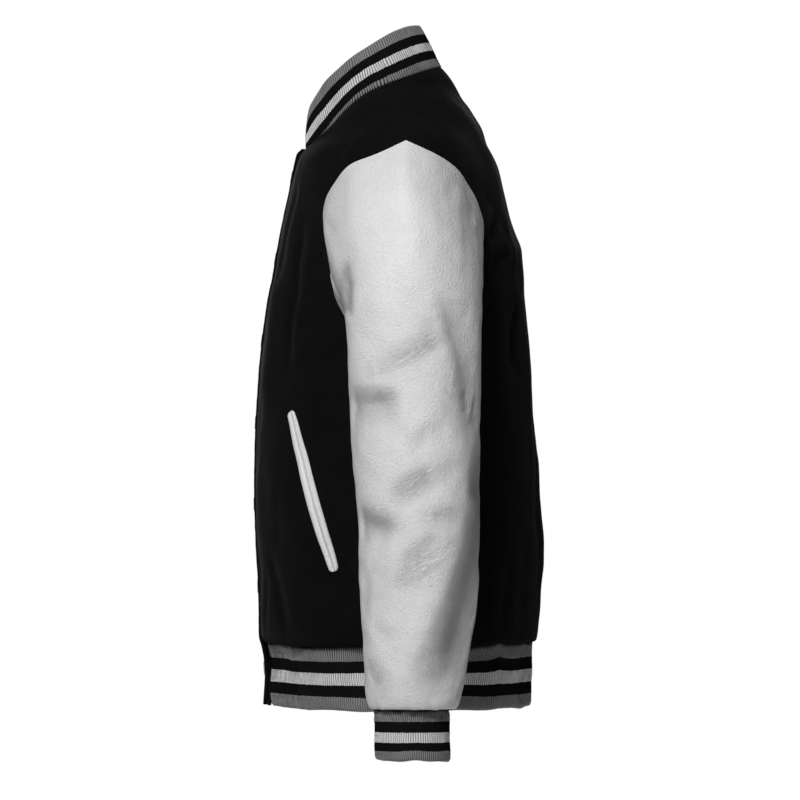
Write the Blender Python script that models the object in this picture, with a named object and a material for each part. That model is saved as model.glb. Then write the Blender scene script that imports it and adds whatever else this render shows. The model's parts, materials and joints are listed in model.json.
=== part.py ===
"""Varsity jacket, filled out as if worn, with nobody in it.

Metres, +Z up. The wearer faces -Y and the wearer's left is +X. The origin is the point midway
between the two neck points, where the wearer's shoulders carry the jacket.

The body is a stack of horizontal sections. A point on it is named by its bearing (-90 degrees at
the centre front, 0 at the side, 90 at the centre back) and its height. Panels are cut out of that
form along the neckline, the armholes and the side seams. Every piece is a wall of its own.
"""

import math

import bmesh
import bpy
import numpy as np

MM = 0.001
SEAM_GAP = 0.3 * MM
CLOTH_THICKNESS = 2.0 * MM
LEATHER_THICKNESS = 1.6 * MM
RIB_THICKNESS = 3.0 * MM
PLACKET_THICKNESS = 3.4 * MM
PLACKET_HALF_WIDTH = 17.5 * MM
PLACKET_SHIFT = 0.5 * MM
PLACKET_LAP_GAP = 0.5 * MM
PLACKET_DROP = 1.0 * MM

BODY_HEM_Z = -610.5 * MM
HEM_TURN_IN = (-607.0 * MM, -602.0 * MM)
HEM_FULL_Z = -594.0 * MM
RIB_LEVELS = (-679.0, -674.5, -640.0, -611.2)
UNDERARM_TURN = 0.5
FRONT_LEVEL_TURN = 0.17
BACK_LEVEL_TURN = 0.84
CUFF_LEVELS = (-675.6, -702.0, -728.0, -731.2)
COLLAR_LIFT = 1.1 * MM
COLLAR_HEIGHTS = (0.0, 0.35, 0.7, 1.0)
COLLAR_COLUMNS = 15
RIB_COLUMNS = 19
MERGE_DISTANCE = 0.05 * MM

# Sections of the body and the hem rib, bottom to top, in mm. square is the exponent of the
# section's outline: 2 is an ellipse, more is boxier.
BODY_COLUMNS = ("z", "half_width", "side_y", "front_y", "back_y", "square")
BODY_SECTIONS = (
    (-679.0, 187.5, 1, -139.0, 141.0, 2.5),
    (-675.5, 189.5, 1, -141.0, 143.2, 2.5),
    (-668.0, 190.5, 1, -141.5, 144.0, 2.5),
    (-640.0, 192.0, 1, -141.0, 144.8, 2.5),
    (-613.0, 195.0, 1, -145.0, 145.3, 2.5),
    (-610.5, 196.5, 1, -146.5, 146.8, 2.5),
    (-607.5, 201.0, 1, -150.5, 150.0, 2.45),
    (-600.0, 204.5, 1, -152.6, 151.8, 2.4),
    (-578.0, 207.0, 1, -153.6, 153.3, 2.4),
    (-541.0, 208.5, 1, -154.4, 155.8, 2.35),
    (-516.0, 209.0, 1, -156.3, 157.3, 2.35),
    (-438.0, 209.0, 2, -158.8, 153.8, 2.35),
    (-387.0, 208.0, 3, -158.0, 150.3, 2.3),
    (-315.0, 207.0, 5, -154.0, 144.0, 2.3),
    (-273.0, 207.0, 6, -149.8, 140.8, 2.3),
    (-233.0, 210.0, 8, -144.1, 136.4, 2.3),
    (-209.0, 214.0, 9, -138.6, 134.4, 2.3),
    (-180.0, 220.0, 10, -134.0, 132.6, 2.3),
    (-162.0, 224.5, 10, -131.0, 126.5, 2.3),
    (-136.0, 231.0, 10, -125.4, 118.7, 2.25),
    (-110.0, 237.0, 9, -119.9, 112.5, 2.2),
    (-90.0, 240.0, 8, -114.8, 107.8, 2.15),
    (-79.0, 240.0, 7, -111.5, 103.9, 2.1),
    (-67.0, 237.0, 6.5, -103.6, 98.7, 2.05),
    (-61.7, 233.5, 6, -98.4, 96.3, 2.0),
    (-45.0, 196.0, 3, -80.0, 89.0, 2.0),
    (-32.0, 165.0, -1, -70.8, 81.8, 2.0),
    (-20.0, 137.0, -4, -62.5, 74.8, 2.0),
    (-12.0, 119.0, -7, -56.3, 69.6, 2.0),
    (-4.0, 100.0, -9.5, -47.2, 64.3, 2.0),
    (3.9, 85.0, -11, -38.0, 59.3, 2.0),
    (10.5, 77.4, -12, -34.0, 55.2, 2.0),
    (18.7, 62.5, -14, -32.0, 49.0, 2.0),
    (23.1, 53.0, -15, -31.0, 44.0, 2.0),
)

# The neckline of one half, centre back to centre front, as a share of its length.
NECKLINE_COLUMNS = ("share", "bearing", "z")
NECKLINE = (
    (0.00, 90.0, 23.1),
    (0.10, 66.0, 22.0),
    (0.19, 43.9, 18.7),
    (0.34, 17.0, 10.5),
    (0.43, 0.0, 3.9),
    (0.51, -30.5, -3.9),
    (0.58, -46.4, -12.1),
    (0.64, -56.8, -20.9),
    (0.71, -66.0, -31.9),
    (0.80, -73.8, -45.6),
    (0.89, -80.2, -57.0),
    (1.00, -85.4, -67.2),
)
NECK_POINT_SHARE = 0.43

# The free top edge of the collar over the same shares, in mm.
COLLAR_TOP_COLUMNS = ("share", "x", "y", "z")
COLLAR_TOP = (
    (0.00, 0.0, 21.6, 69.0),
    (0.10, 24.0, 18.5, 68.8),
    (0.19, 42.0, 11.0, 67.4),
    (0.30, 60.0, -4.0, 61.8),
    (0.43, 73.0, -25.0, 50.2),
    (0.51, 76.0, -38.0, 42.3),
    (0.58, 75.5, -50.0, 34.4),
    (0.64, 72.5, -60.0, 26.8),
    (0.71, 66.0, -71.0, 17.0),
    (0.80, 54.0, -84.0, 4.0),
    (0.89, 38.0, -94.5, -12.0),
    (0.96, 25.0, -100.0, -24.0),
    (1.00, 18.3, -102.0, -32.0),
)

# The armhole of one side as seen from that side: turn 0 is the shoulder point, 0.25 the front,
# 0.5 the underarm and 0.75 the back.
ARMHOLE_COLUMNS = ("turn", "y", "z")
ARMHOLE = (
    (0.00, 6.5, -61.7),
    (0.06, -28.1, -77.7),
    (0.11, -53.5, -88.1),
    (0.15, -69.0, -104.0),
    (0.19, -81.0, -124.5),
    (0.24, -84.3, -144.0),
    (0.30, -79.1, -180.8),
    (0.37, -70.8, -226.3),
    (0.43, -50.0, -264.0),
    (0.50, 5.0, -286.0),
    (0.57, 52.0, -264.0),
    (0.63, 79.0, -221.0),
    (0.69, 89.6, -178.0),
    (0.74, 91.7, -157.0),
    (0.80, 87.0, -134.0),
    (0.86, 73.6, -106.4),
    (0.91, 56.5, -87.5),
    (0.95, 36.3, -75.5),
    (1.00, 6.5, -61.7),
)

# Horizontal sections of one sleeve below the cap, and of its cuff, in mm.
SLEEVE_COLUMNS = ("z", "centre_x", "half_width", "front_y", "rear_y")
SLEEVE_SECTIONS = (
    (-674.9, 290.0, 35.5, -28.5, 53.5),
    (-674.3, 290.0, 40.0, -31.0, 60.0),
    (-670.0, 290.0, 43.0, -34.4, 63.4),
    (-657.0, 290.0, 46.0, -37.6, 67.1),
    (-627.0, 289.5, 49.0, -38.3, 72.5),
    (-575.0, 288.0, 54.0, -41.9, 80.9),
    (-522.0, 286.0, 58.0, -44.1, 85.2),
    (-465.0, 284.0, 61.0, -45.8, 86.0),
    (-404.0, 281.0, 63.0, -51.6, 86.0),
    (-356.0, 278.0, 64.0, -54.8, 87.0),
    (-300.0, 275.5, 63.0, -55.9, 87.6),
)
CUFF_SECTIONS = (
    (-731.2, 290.0, 30.5, -22.5, 49.5),
    (-729.5, 290.0, 33.0, -25.2, 52.5),
    (-726.0, 290.0, 34.0, -26.4, 53.7),
    (-700.0, 290.0, 33.6, -27.1, 53.0),
    (-675.6, 290.0, 33.2, -27.5, 52.2),
)
SIDE_ROWS = 8
CHEST_ROWS = 6
YOKE_ROWS = 6
PANEL_COLUMNS = 8
OUTWARDS = "outwards"
CAP_FOOT_Z = SLEEVE_SECTIONS[-1][0] * MM
CAP_STATIONS = (0.0, 0.1, 0.25, 0.42, 0.6, 0.8)
SLEEVE_LEVELS = (-300, -326, -354, -386, -420, -460, -505, -550, -595, -635, -660, -671, -674.9)
ARMHOLE_MIDDLE = (5.0 * MM, -170.0 * MM)
CAP_SPREAD = 0.62
CUFF_COLUMNS = 20

# The outer line of the front edge, bottom to top, in mm.
PLACKET_COLUMNS = ("z", "y")
PLACKET_EDGE = (
    (-677.6, -150.4),
    (-665.0, -149.6),
    (-646.0, -148.6),
    (-626.0, -149.8),
    (-610.0, -153.2),
    (-603.0, -155.1),
    (-578.0, -155.4),
    (-541.0, -156.2),
    (-516.0, -158.0),
    (-438.0, -160.4),
    (-387.0, -159.5),
    (-315.0, -155.5),
    (-273.0, -151.3),
    (-233.0, -145.6),
    (-209.0, -140.6),
    (-162.0, -132.4),
    (-110.0, -121.3),
    (-79.0, -115.2),
    (-72.0, -113.0),
    (-68.4, -108.8),
)

# The largest folds of one side, as soft troughs (depth) along a line seen from that side, in mm.
FOLD_COLUMNS = ("from_y", "from_z", "to_y", "to_z", "width", "depth")
BODY_FOLDS = (
    (-105, -150, -113, -225, 11, 2.5),
    (-113, -225, -123, -320, 11, 3.0),
    (-86, -190, -74, -212, 9, 4.0),
    (-97, -228, -70, -236, 9, 3.0),
    (-148, -510, -126, -600, 14, 3.0),
    (117, -226, 113, -306, 10, 3.5),
    (119, -520, 109, -603, 12, 3.5),
    (108, -150, 97, -182, 8, 3.0),
)
SLEEVE_FOLDS = (
    (-52, -196, -42, -232, 10, 6.0),
    (67, -275, 69, -350, 14, 5.5),
    (-50, -342, 2, -340, 13, 4.5),
    (-26, -478, 18, -470, 12, 4.0),
    (10, -428, 45, -400, 12, 3.0),
    (-30, -636, 6, -622, 10, 2.5),
)

# The pocket's slit as seen from the side, top to bottom, in mm.
POCKET_COLUMNS = ("share", "y", "z")
POCKET = (
    (0.00, -117.5, -356.0),
    (0.35, -104.5, -412.0),
    (0.70, -86.5, -476.0),
    (1.00, -71.0, -528.5),
)
WELT_WIDTH = 8.0 * MM
WELT_HEIGHT = 3.4 * MM
WELT_SPACING = 8.8 * MM
WELT_END_SIZE = 0.62
WELT_CLEARANCE = 0.45 * MM
WELT_STATIONS = 11
WELT_ARC_POINTS = 6

# Rows of the front edge bands where they bend most: at the hem and at the neck.
PLACKET_END_LEVELS = (-677.6, -665.0, -612.0, -603.0, -78.0, -73.0, -68.4)

SNAP_COUNT = 7
SNAP_TOP_Z = -98.0 * MM
SNAP_BOTTOM_Z = -638.0 * MM
SNAP_SEAT = 9.0 * MM
SNAP_RADIUS = 7.5 * MM
SNAP_RISE = 0.8 * MM
SNAP_SIDES = 16

BLACK_CLOTH = ("black cloth", (0.012, 0.012, 0.013), 0.92, 0.0)
PALE_LEATHER = ("pale leather", (0.68, 0.68, 0.67), 0.5, 0.0)
RIB_KNIT = ("rib knit", (0.20, 0.20, 0.20), 0.9, 0.0)
SNAP_METAL = ("snap metal", (0.03, 0.03, 0.03), 0.35, 0.9)


class Table:
    """A smooth curve through the rows of a table. It never overshoots a row."""

    def __init__(self, columns, rows, scaled=()):
        values = np.array(sorted(rows), float)
        for name in scaled:
            values[:, columns.index(name)] *= MM
        self.columns = columns[1:]
        self.at = values[:, 0]
        self.rows = values[:, 1:]
        step = np.diff(self.at)[:, None]
        rise = np.diff(self.rows, axis=0) / step
        self.slope = np.zeros_like(self.rows)
        self.slope[0], self.slope[-1] = rise[0], rise[-1]
        before, after = rise[:-1], rise[1:]
        same_way = before * after > 0
        total = np.where(same_way, before + after, 1.0)
        self.slope[1:-1] = np.where(same_way, 2 * before * after / total, 0.0)

    def read(self, at):
        """A dict of column to value at one place."""
        at = min(max(at, self.at[0]), self.at[-1])
        i = int(np.clip(np.searchsorted(self.at, at) - 1, 0, len(self.at) - 2))
        span = self.at[i + 1] - self.at[i]
        t = (at - self.at[i]) / span
        value = (
            (2 * t**3 - 3 * t**2 + 1) * self.rows[i]
            + (t**3 - 2 * t**2 + t) * span * self.slope[i]
            + (3 * t**2 - 2 * t**3) * self.rows[i + 1]
            + (t**3 - t**2) * span * self.slope[i + 1]
        )
        return dict(zip(self.columns, value, strict=True))


BODY_LENGTHS = ("z", "half_width", "side_y", "front_y", "back_y")
body_form = Table(BODY_COLUMNS, BODY_SECTIONS, BODY_LENGTHS)
neckline = Table(NECKLINE_COLUMNS, NECKLINE, ("z",))
collar_top = Table(COLLAR_TOP_COLUMNS, COLLAR_TOP, ("x", "y", "z"))
armhole = Table(ARMHOLE_COLUMNS, ARMHOLE, ("y", "z"))
sleeve_form = Table(SLEEVE_COLUMNS, SLEEVE_SECTIONS, SLEEVE_COLUMNS)
cuff_form = Table(SLEEVE_COLUMNS, CUFF_SECTIONS, SLEEVE_COLUMNS)
placket_form = Table(PLACKET_COLUMNS, PLACKET_EDGE, ("z", "y"))
pocket_line = Table(POCKET_COLUMNS, POCKET, ("y", "z"))


def fold_depth(point, folds):
    """How deep the troughs are at a point, by its distance from each fold's line in side view."""
    depth = 0.0
    here = np.array(point[1:3])
    for row in folds:
        fold = dict(zip(FOLD_COLUMNS, np.array(row) * MM, strict=True))
        start = np.array((fold["from_y"], fold["from_z"]))
        run = np.array((fold["to_y"], fold["to_z"])) - start
        along = np.clip(np.dot(here - start, run) / np.dot(run, run), 0.0, 1.0)
        away = np.linalg.norm(here - start - along * run)
        depth += fold["depth"] * math.exp(-((away / fold["width"]) ** 2))
    return depth


def body_point(bearing, z, folded=True):
    """A point of the left half's outer surface."""
    section = body_form.read(z)
    angle = math.radians(bearing)
    power = 2 / section["square"]
    across = abs(math.cos(angle)) ** power
    along = abs(math.sin(angle)) ** power
    edge_y = section["back_y"] if bearing > 0 else section["front_y"]
    x = section["half_width"] * across
    y = section["side_y"] + (edge_y - section["side_y"]) * along
    point = np.array((math.copysign(x, math.cos(angle)), y, z))
    if folded:
        inwards = np.array((-math.cos(angle), -math.sin(angle), 0.0))
        point = point + fold_depth(point, BODY_FOLDS) * inwards
    return point


def body_outwards(bearing, z):
    """The outward direction of the left half's surface."""
    turn, rise = 1.5, 2 * MM
    around = body_point(bearing + turn, z) - body_point(bearing - turn, z)
    upwards = body_point(bearing, z + rise) - body_point(bearing, z - rise)
    outwards = np.cross(around, upwards)
    return outwards / np.linalg.norm(outwards)


def body_bearing(y, z):
    """The bearing at which the left half's surface has this y at this height."""
    section = body_form.read(z)
    edge_y = section["back_y"] if y > section["side_y"] else section["front_y"]
    share = min((y - section["side_y"]) / (edge_y - section["side_y"]), 1.0)
    angle = math.degrees(math.asin(share ** (section["square"] / 2)))
    return angle if y > section["side_y"] else -angle


def front_edge_bearing(z):
    """The bearing of a front panel's long edge, beside the placket."""
    section = body_form.read(z)
    edge_x = PLACKET_HALF_WIDTH + PLACKET_SHIFT + 1.5 * SEAM_GAP
    return -math.degrees(math.acos((edge_x / section["half_width"]) ** (section["square"] / 2)))


def armhole_place(turn):
    """Bearing and height of a point of the armhole seam."""
    place = armhole.read(turn)
    return body_bearing(place["y"], place["z"]), place["z"]


def blend_rows(inner, outer, columns):
    """Rows of (bearing, z) places between matching points of a panel's two long edges."""
    shares = np.linspace(0.0, 1.0, columns)
    return [
        [(a[0] + (b[0] - a[0]) * s, a[1] + (b[1] - a[1]) * s) for s in shares]
        for a, b in zip(inner, outer, strict=True)
    ]


def side_levels(count):
    """Heights from the hem up to the underarm, with rows where the hem turns in."""
    top = armhole.read(UNDERARM_TURN)["z"]
    return [BODY_HEM_Z, *HEM_TURN_IN, *np.linspace(HEM_FULL_Z, top, count)]


def seam_bearing(z, way):
    """The bearing of a panel's edge at the side or shoulder seam; way is -1 on a front panel."""
    return body_bearing(body_form.read(z)["side_y"] + way * SEAM_GAP / 2, z)


def armhole_turns(way):
    """Turns from the underarm to the shoulder seam of a front (way -1) or back (way 1) panel.

    The panel and the sleeve share them, so that their seam lines match point for point.
    """
    level_turn = FRONT_LEVEL_TURN if way < 0 else BACK_LEVEL_TURN
    chest = np.linspace(UNDERARM_TURN, level_turn, CHEST_ROWS + 1)
    yoke = np.linspace(level_turn, 0.0 if way < 0 else 1.0, YOKE_ROWS + 1)
    return [*chest, *yoke[1:]]


def half_panel(inner_edge, neck_share, way):
    """Places of one half panel, hem to shoulder.

    inner_edge gives the centre edge's bearing at a height, neck_share where the neckline starts
    on it, and way is -1 for a front and 1 for the back.
    """
    levels = side_levels(SIDE_ROWS)
    turns = armhole_turns(way)
    centre_top = neckline.read(neck_share)["z"]
    heights = np.linspace(levels[-1], centre_top, CHEST_ROWS + 1)[1:]
    shares = np.linspace(neck_share, NECK_POINT_SHARE, YOKE_ROWS + 1)[1:]
    necks = [neckline.read(share) for share in shares]
    inner = [(inner_edge(z), z) for z in [*levels, *heights]]
    inner += [(neck["bearing"], neck["z"]) for neck in necks]
    outer = [(seam_bearing(z, way), z) for z in levels]
    outer += [armhole_place(turn) for turn in turns[1:]]
    rows = blend_rows(inner, outer, PANEL_COLUMNS)
    rows[-1] = [(seam_bearing(z, way), z) for bearing, z in rows[-1]]
    return rows


def new_material(name, colour, roughness, metallic):
    """A plain Principled material."""
    material = bpy.data.materials.new(name)
    material.use_nodes = True
    shader = material.node_tree.nodes["Principled BSDF"]
    shader.inputs["Base Color"].default_value = (*colour, 1.0)
    shader.inputs["Roughness"].default_value = roughness
    shader.inputs["Metallic"].default_value = metallic
    return material


def add_grid(mesh, points, outwards=None, mirrored=False, wrapped=False):
    """Adds a grid of points (rows of columns, from the bottom up) with its faces pointing out.

    outwards gives each point's outward direction, where the mesh's own normals won't do.
    """
    layer = mesh.verts.layers.float_vector.get(OUTWARDS)
    if layer is None:
        layer = mesh.verts.layers.float_vector.new(OUTWARDS)
    side = -1 if mirrored else 1
    grid = [[mesh.verts.new((side * p[0], p[1], p[2])) for p in row] for row in points]
    if outwards is not None:
        for verts, directions in zip(grid, outwards, strict=True):
            for vert, d in zip(verts, directions, strict=True):
                vert[layer] = (side * d[0], d[1], d[2])
    count = len(grid[0])
    for lower, upper in zip(grid, grid[1:], strict=False):
        for j in range(count if wrapped else count - 1):
            k = (j + 1) % count
            for corners in ((lower[j], lower[k], upper[k]), (lower[j], upper[k], upper[j])):
                mesh.faces.new(corners[::-1] if mirrored else corners)


def new_object(name, mesh, finish):
    """Turns a bmesh into a smooth-shaded object with its own material."""
    data = bpy.data.meshes.new(name)
    mesh.to_mesh(data)
    mesh.free()
    data.shade_smooth()
    piece = bpy.data.objects.new(name, data)
    bpy.context.scene.collection.objects.link(piece)
    data.materials.append(new_material(name.replace("_", " ") + ", " + finish[0], *finish[1:]))
    return piece


def thicken(mesh, thickness):
    """Turns a sheet into a closed wall: adds its inner face and the rim between the two."""
    mesh.normal_update()
    layer = mesh.verts.layers.float_vector.get(OUTWARDS)
    faces = list(mesh.faces)
    rim = [edge for edge in mesh.edges if len(edge.link_faces) == 1]
    inner = {}
    for vert in list(mesh.verts):
        direction = vert[layer] if vert[layer].length > 0.5 else vert.normal
        inner[vert] = mesh.verts.new(vert.co - direction * thickness)
    for face in faces:
        mesh.faces.new([inner[vert] for vert in reversed(face.verts)])
    for edge in rim:
        loop = edge.link_loops[0]
        first, second = loop.vert, loop.link_loop_next.vert
        mesh.faces.new((second, first, inner[first], inner[second]))


def new_wall(name, mesh, finish, thickness):
    """An object that is a wall, with the sheet as its outer face."""
    thicken(mesh, thickness)
    return new_object(name, mesh, finish)


def add_panel(mesh, rows, mirrored=False):
    """Adds a body panel from its (bearing, z) places, which run forward to back."""
    points = [[body_point(bearing, z) for bearing, z in row] for row in rows]
    outwards = [[body_outwards(bearing, z) for bearing, z in row] for row in rows]
    add_grid(mesh, points, outwards, mirrored)


def build_front(name, mirrored):
    """A front panel, from the placket to the side seam, armhole and shoulder seam."""
    rows = half_panel(front_edge_bearing, 1.0, -1)
    mesh = bmesh.new()
    add_panel(mesh, rows, mirrored)
    return new_wall(name, mesh, BLACK_CLOTH, CLOTH_THICKNESS)


def build_back(name):
    """The back, cut in one piece: two mirrored halves joined along the centre back."""
    rows = [row[::-1] for row in half_panel(lambda z: 90.0, 0.0, 1)]
    mesh = bmesh.new()
    add_panel(mesh, rows)
    add_panel(mesh, rows, mirrored=True)
    bmesh.ops.remove_doubles(mesh, verts=mesh.verts, dist=MERGE_DISTANCE)
    return new_wall(name, mesh, BLACK_CLOTH, CLOTH_THICKNESS)


def sleeve_section(form, turn, z):
    """A point of a sleeve's horizontal section: turn 0 outermost, 0.25 front, 0.5 by the body."""
    section = form.read(z)
    middle_y = (section["front_y"] + section["rear_y"]) / 2
    half_depth = (section["rear_y"] - section["front_y"]) / 2
    angle = turn * math.tau
    x = section["centre_x"] + section["half_width"] * math.cos(angle)
    return np.array((x, middle_y - half_depth * math.sin(angle), z))


def cap_start(turn):
    """A point of the sleeve's top edge, a seam gap inside the armhole."""
    bearing, z = armhole_place(turn)
    point = body_point(bearing, z)
    middle = np.array((point[0], *ARMHOLE_MIDDLE))
    inwards = middle - point
    return point + inwards / np.linalg.norm(inwards) * SEAM_GAP * 1.5


def cap_point(turn, station):
    """A point of the sleeve cap: a curve that leaves the armhole outwards and ends hanging."""
    start = cap_start(turn)
    end = sleeve_section(sleeve_form, turn, CAP_FOOT_Z)
    length = np.linalg.norm(end - start)
    top_share = (1 + math.cos(turn * math.tau)) / 2
    leave = np.array((0.80, 0.0, -0.30 - 0.40 * top_share))
    leave /= np.linalg.norm(leave)
    arrive = np.array((0.0, 0.0, -1.0))
    t = station
    return (
        (2 * t**3 - 3 * t**2 + 1) * start
        + (t**3 - 2 * t**2 + t) * length * 2 * CAP_SPREAD * leave
        + (3 * t**2 - 2 * t**3) * end
        + (t**3 - t**2) * length * 2 * CAP_SPREAD * arrive
    )


def folded_sleeve(point, turn):
    """Presses the sleeve's folds in on its outer half."""
    outer_share = max(math.cos(turn * math.tau) + 0.3, 0.0) / 1.3
    inwards = np.array((-math.cos(turn * math.tau), math.sin(turn * math.tau), 0.0))
    return point + fold_depth(point, SLEEVE_FOLDS) * outer_share * inwards


def build_sleeve(name, mirrored):
    """A set-in sleeve: its cap from the armhole, then its hanging tube down to the cuff."""
    turns = [*armhole_turns(-1)[::-1], *armhole_turns(1)[1:-1]]
    rows = [[cap_point(turn, station) for turn in turns] for station in CAP_STATIONS]
    for level in SLEEVE_LEVELS:
        rows.append([sleeve_section(sleeve_form, turn, level * MM) for turn in turns])
    rows = [rows[0]] + [
        [folded_sleeve(p, turn) for p, turn in zip(row, turns, strict=True)] for row in rows[1:]
    ]
    mesh = bmesh.new()
    add_grid(mesh, rows, mirrored=mirrored, wrapped=True)
    return new_wall(name, mesh, PALE_LEATHER, LEATHER_THICKNESS)


def build_cuff(name, mirrored):
    """A rib tube at the end of a sleeve, with its folded lower edge drawn in."""
    turns = [j / CUFF_COLUMNS for j in range(CUFF_COLUMNS)]
    rows = [[sleeve_section(cuff_form, turn, z * MM) for turn in turns] for z in CUFF_LEVELS]
    mesh = bmesh.new()
    add_grid(mesh, rows, mirrored=mirrored, wrapped=True)
    return new_wall(name, mesh, RIB_KNIT, RIB_THICKNESS)


def build_collar():
    """The rib band that stands on the neckline and leans in."""
    shares = np.linspace(0.0, 1.0, COLLAR_COLUMNS)
    rows = []
    for height in COLLAR_HEIGHTS:
        row = []
        for share in shares[::-1]:
            seam = neckline.read(share)
            foot = body_point(seam["bearing"], seam["z"], folded=False)
            top = np.array(list(collar_top.read(share).values()))
            rise = top - foot
            foot = foot + rise / np.linalg.norm(rise) * COLLAR_LIFT
            row.append(foot + (top - foot) * height)
        rows.append(row)
    mesh = bmesh.new()
    add_grid(mesh, rows)
    add_grid(mesh, rows, mirrored=True)
    bmesh.ops.remove_doubles(mesh, verts=mesh.verts, dist=MERGE_DISTANCE)
    return new_wall("collar", mesh, RIB_KNIT, RIB_THICKNESS)


def build_hem_rib():
    """The rib band round the hem, open at the front where the plackets pass it."""
    rows = []
    for z in np.array(RIB_LEVELS) * MM:
        bearings = np.linspace(front_edge_bearing(z), 90.0, RIB_COLUMNS)
        rows.append([body_point(bearing, z, folded=False) for bearing in bearings])
    mesh = bmesh.new()
    add_grid(mesh, rows)
    add_grid(mesh, rows, mirrored=True)
    bmesh.ops.remove_doubles(mesh, verts=mesh.verts, dist=MERGE_DISTANCE)
    return new_wall("hem_rib", mesh, RIB_KNIT, RIB_THICKNESS)


def placket_point(x, z, depth):
    """A point of the front edge band, depth below its outer line."""
    step = 1 * MM
    y = placket_form.read(z)["y"]
    slope = (placket_form.read(z + step)["y"] - placket_form.read(z - step)["y"]) / (2 * step)
    outwards = np.array((0.0, -1.0, slope)) / math.hypot(1.0, slope)
    return np.array((x, y, z)) - outwards * depth


def snap_heights():
    """Heights of the snaps, top to bottom."""
    return np.linspace(SNAP_TOP_Z, SNAP_BOTTOM_Z, SNAP_COUNT)


def placket_levels():
    """Rows of the front edge bands: the ends, and a flat seat under each snap."""
    ends = np.array(PLACKET_END_LEVELS) * MM
    seats = [z + way * SNAP_SEAT for z in snap_heights() for way in (-1, 1)]
    return sorted([*ends, *seats])


def build_placket(name, centre_x, depth, top_drop):
    """A front edge band, from the neck down past the hem rib."""
    rows = []
    for z in placket_levels():
        columns = [centre_x + PLACKET_HALF_WIDTH * s for s in (-1.0, 0.0, 1.0)]
        rows.append([placket_point(x, z - top_drop, depth) for x in columns])
    mesh = bmesh.new()
    add_grid(mesh, rows)
    return new_wall(name, mesh, BLACK_CLOTH, PLACKET_THICKNESS)


def surface_frame(share, mirrored):
    """Point, direction along the slit and outward direction of the front at the pocket line."""

    def at(s):
        place = pocket_line.read(s)
        return body_point(body_bearing(place["y"], place["z"]), place["z"])

    step = 0.01
    along = at(min(share + step, 1.0)) - at(max(share - step, 0.0))
    along /= np.linalg.norm(along)
    place = pocket_line.read(share)
    bearing = body_bearing(place["y"], place["z"])
    round_body = body_point(bearing + 1.0, place["z"]) - body_point(bearing - 1.0, place["z"])
    outwards = np.cross(round_body, along)
    outwards /= np.linalg.norm(outwards)
    if outwards[0] < 0:
        outwards = -outwards
    flip = np.array((-1.0 if mirrored else 1.0, 1.0, 1.0))
    return at(share) * flip, along * flip, outwards * flip


def build_welt(name, mirrored, way):
    """One rounded leather welt beside the slit; way -1 is the front one and 1 the rear one."""
    mesh = bmesh.new()
    rings = []
    for i in range(WELT_STATIONS):
        share = i / (WELT_STATIONS - 1)
        foot, along, outwards = surface_frame(share, mirrored)
        across = np.cross(along, outwards)
        across *= way * (1.0 if across[1] > 0 else -1.0)
        size = WELT_END_SIZE + (1.0 - WELT_END_SIZE) * abs(math.sin(math.pi * share)) ** 0.6
        middle = foot + size * across * WELT_SPACING / 2 + outwards * WELT_CLEARANCE
        ring = []
        for j in range(WELT_ARC_POINTS + 1):
            angle = math.pi * j / WELT_ARC_POINTS
            sideways = across * WELT_WIDTH / 2 * math.cos(angle)
            ring.append(middle + size * (sideways + outwards * WELT_HEIGHT * math.sin(angle)))
        rings.append([mesh.verts.new(p) for p in ring])
    for lower, upper in zip(rings, rings[1:], strict=False):
        for j in range(len(lower)):
            k = (j + 1) % len(lower)
            mesh.faces.new((lower[j], lower[k], upper[k], upper[j]))
    mesh.faces.new(rings[0])
    mesh.faces.new(rings[-1])
    bmesh.ops.recalc_face_normals(mesh, faces=mesh.faces)
    return new_object(name, mesh, PALE_LEATHER)


def build_snap(name, z):
    """A snap's cap: a low dome, bevelled, lying on the left placket."""
    mesh = bmesh.new()
    bmesh.ops.create_cone(
        mesh,
        cap_ends=True,
        segments=SNAP_SIDES,
        radius1=SNAP_RADIUS,
        radius2=SNAP_RADIUS * 0.72,
        depth=SNAP_RISE,
    )
    piece = new_object(name, mesh, SNAP_METAL)
    below, above = (placket_point(0.0, z + way * SNAP_SEAT, 0.0) for way in (-1, 1))
    foot = (below + above) / 2
    seat = (above - below) / np.linalg.norm(above - below)
    outwards = np.cross((1.0, 0.0, 0.0), seat)
    piece.location = foot + outwards * (SNAP_RISE / 2 + SEAM_GAP)
    piece.rotation_euler = (math.pi / 2 - math.atan2(outwards[2], -outwards[1]), 0.0, 0.0)
    return piece


def clear_scene():
    """Removes whatever the scene holds."""
    for item in list(bpy.data.objects):
        bpy.data.objects.remove(item, do_unlink=True)


def build_jacket():
    """Builds every piece under one empty at the place where the shoulders carry the jacket."""
    clear_scene()
    pieces = [build_back("back"), build_collar(), build_hem_rib()]
    pieces.append(build_placket("placket_left", PLACKET_SHIFT, 0.0, 0.0))
    under = PLACKET_THICKNESS + PLACKET_LAP_GAP
    pieces.append(build_placket("placket_right", -PLACKET_SHIFT, under, PLACKET_DROP))
    for side, mirrored in (("left", False), ("right", True)):
        pieces.append(build_front(f"front_{side}", mirrored))
        pieces.append(build_sleeve(f"sleeve_{side}", mirrored))
        pieces.append(build_cuff(f"cuff_{side}", mirrored))
        pieces.append(build_welt(f"pocket_welt_front_{side}", mirrored, -1))
        pieces.append(build_welt(f"pocket_welt_rear_{side}", mirrored, 1))
    for i, z in enumerate(snap_heights()):
        pieces.append(build_snap(f"snap_cap_{i + 1}", z))
    carried_at = bpy.data.objects.new("shoulder_rest", None)
    bpy.context.scene.collection.objects.link(carried_at)
    for piece in pieces:
        piece.parent = carried_at


build_jacket()
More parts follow.
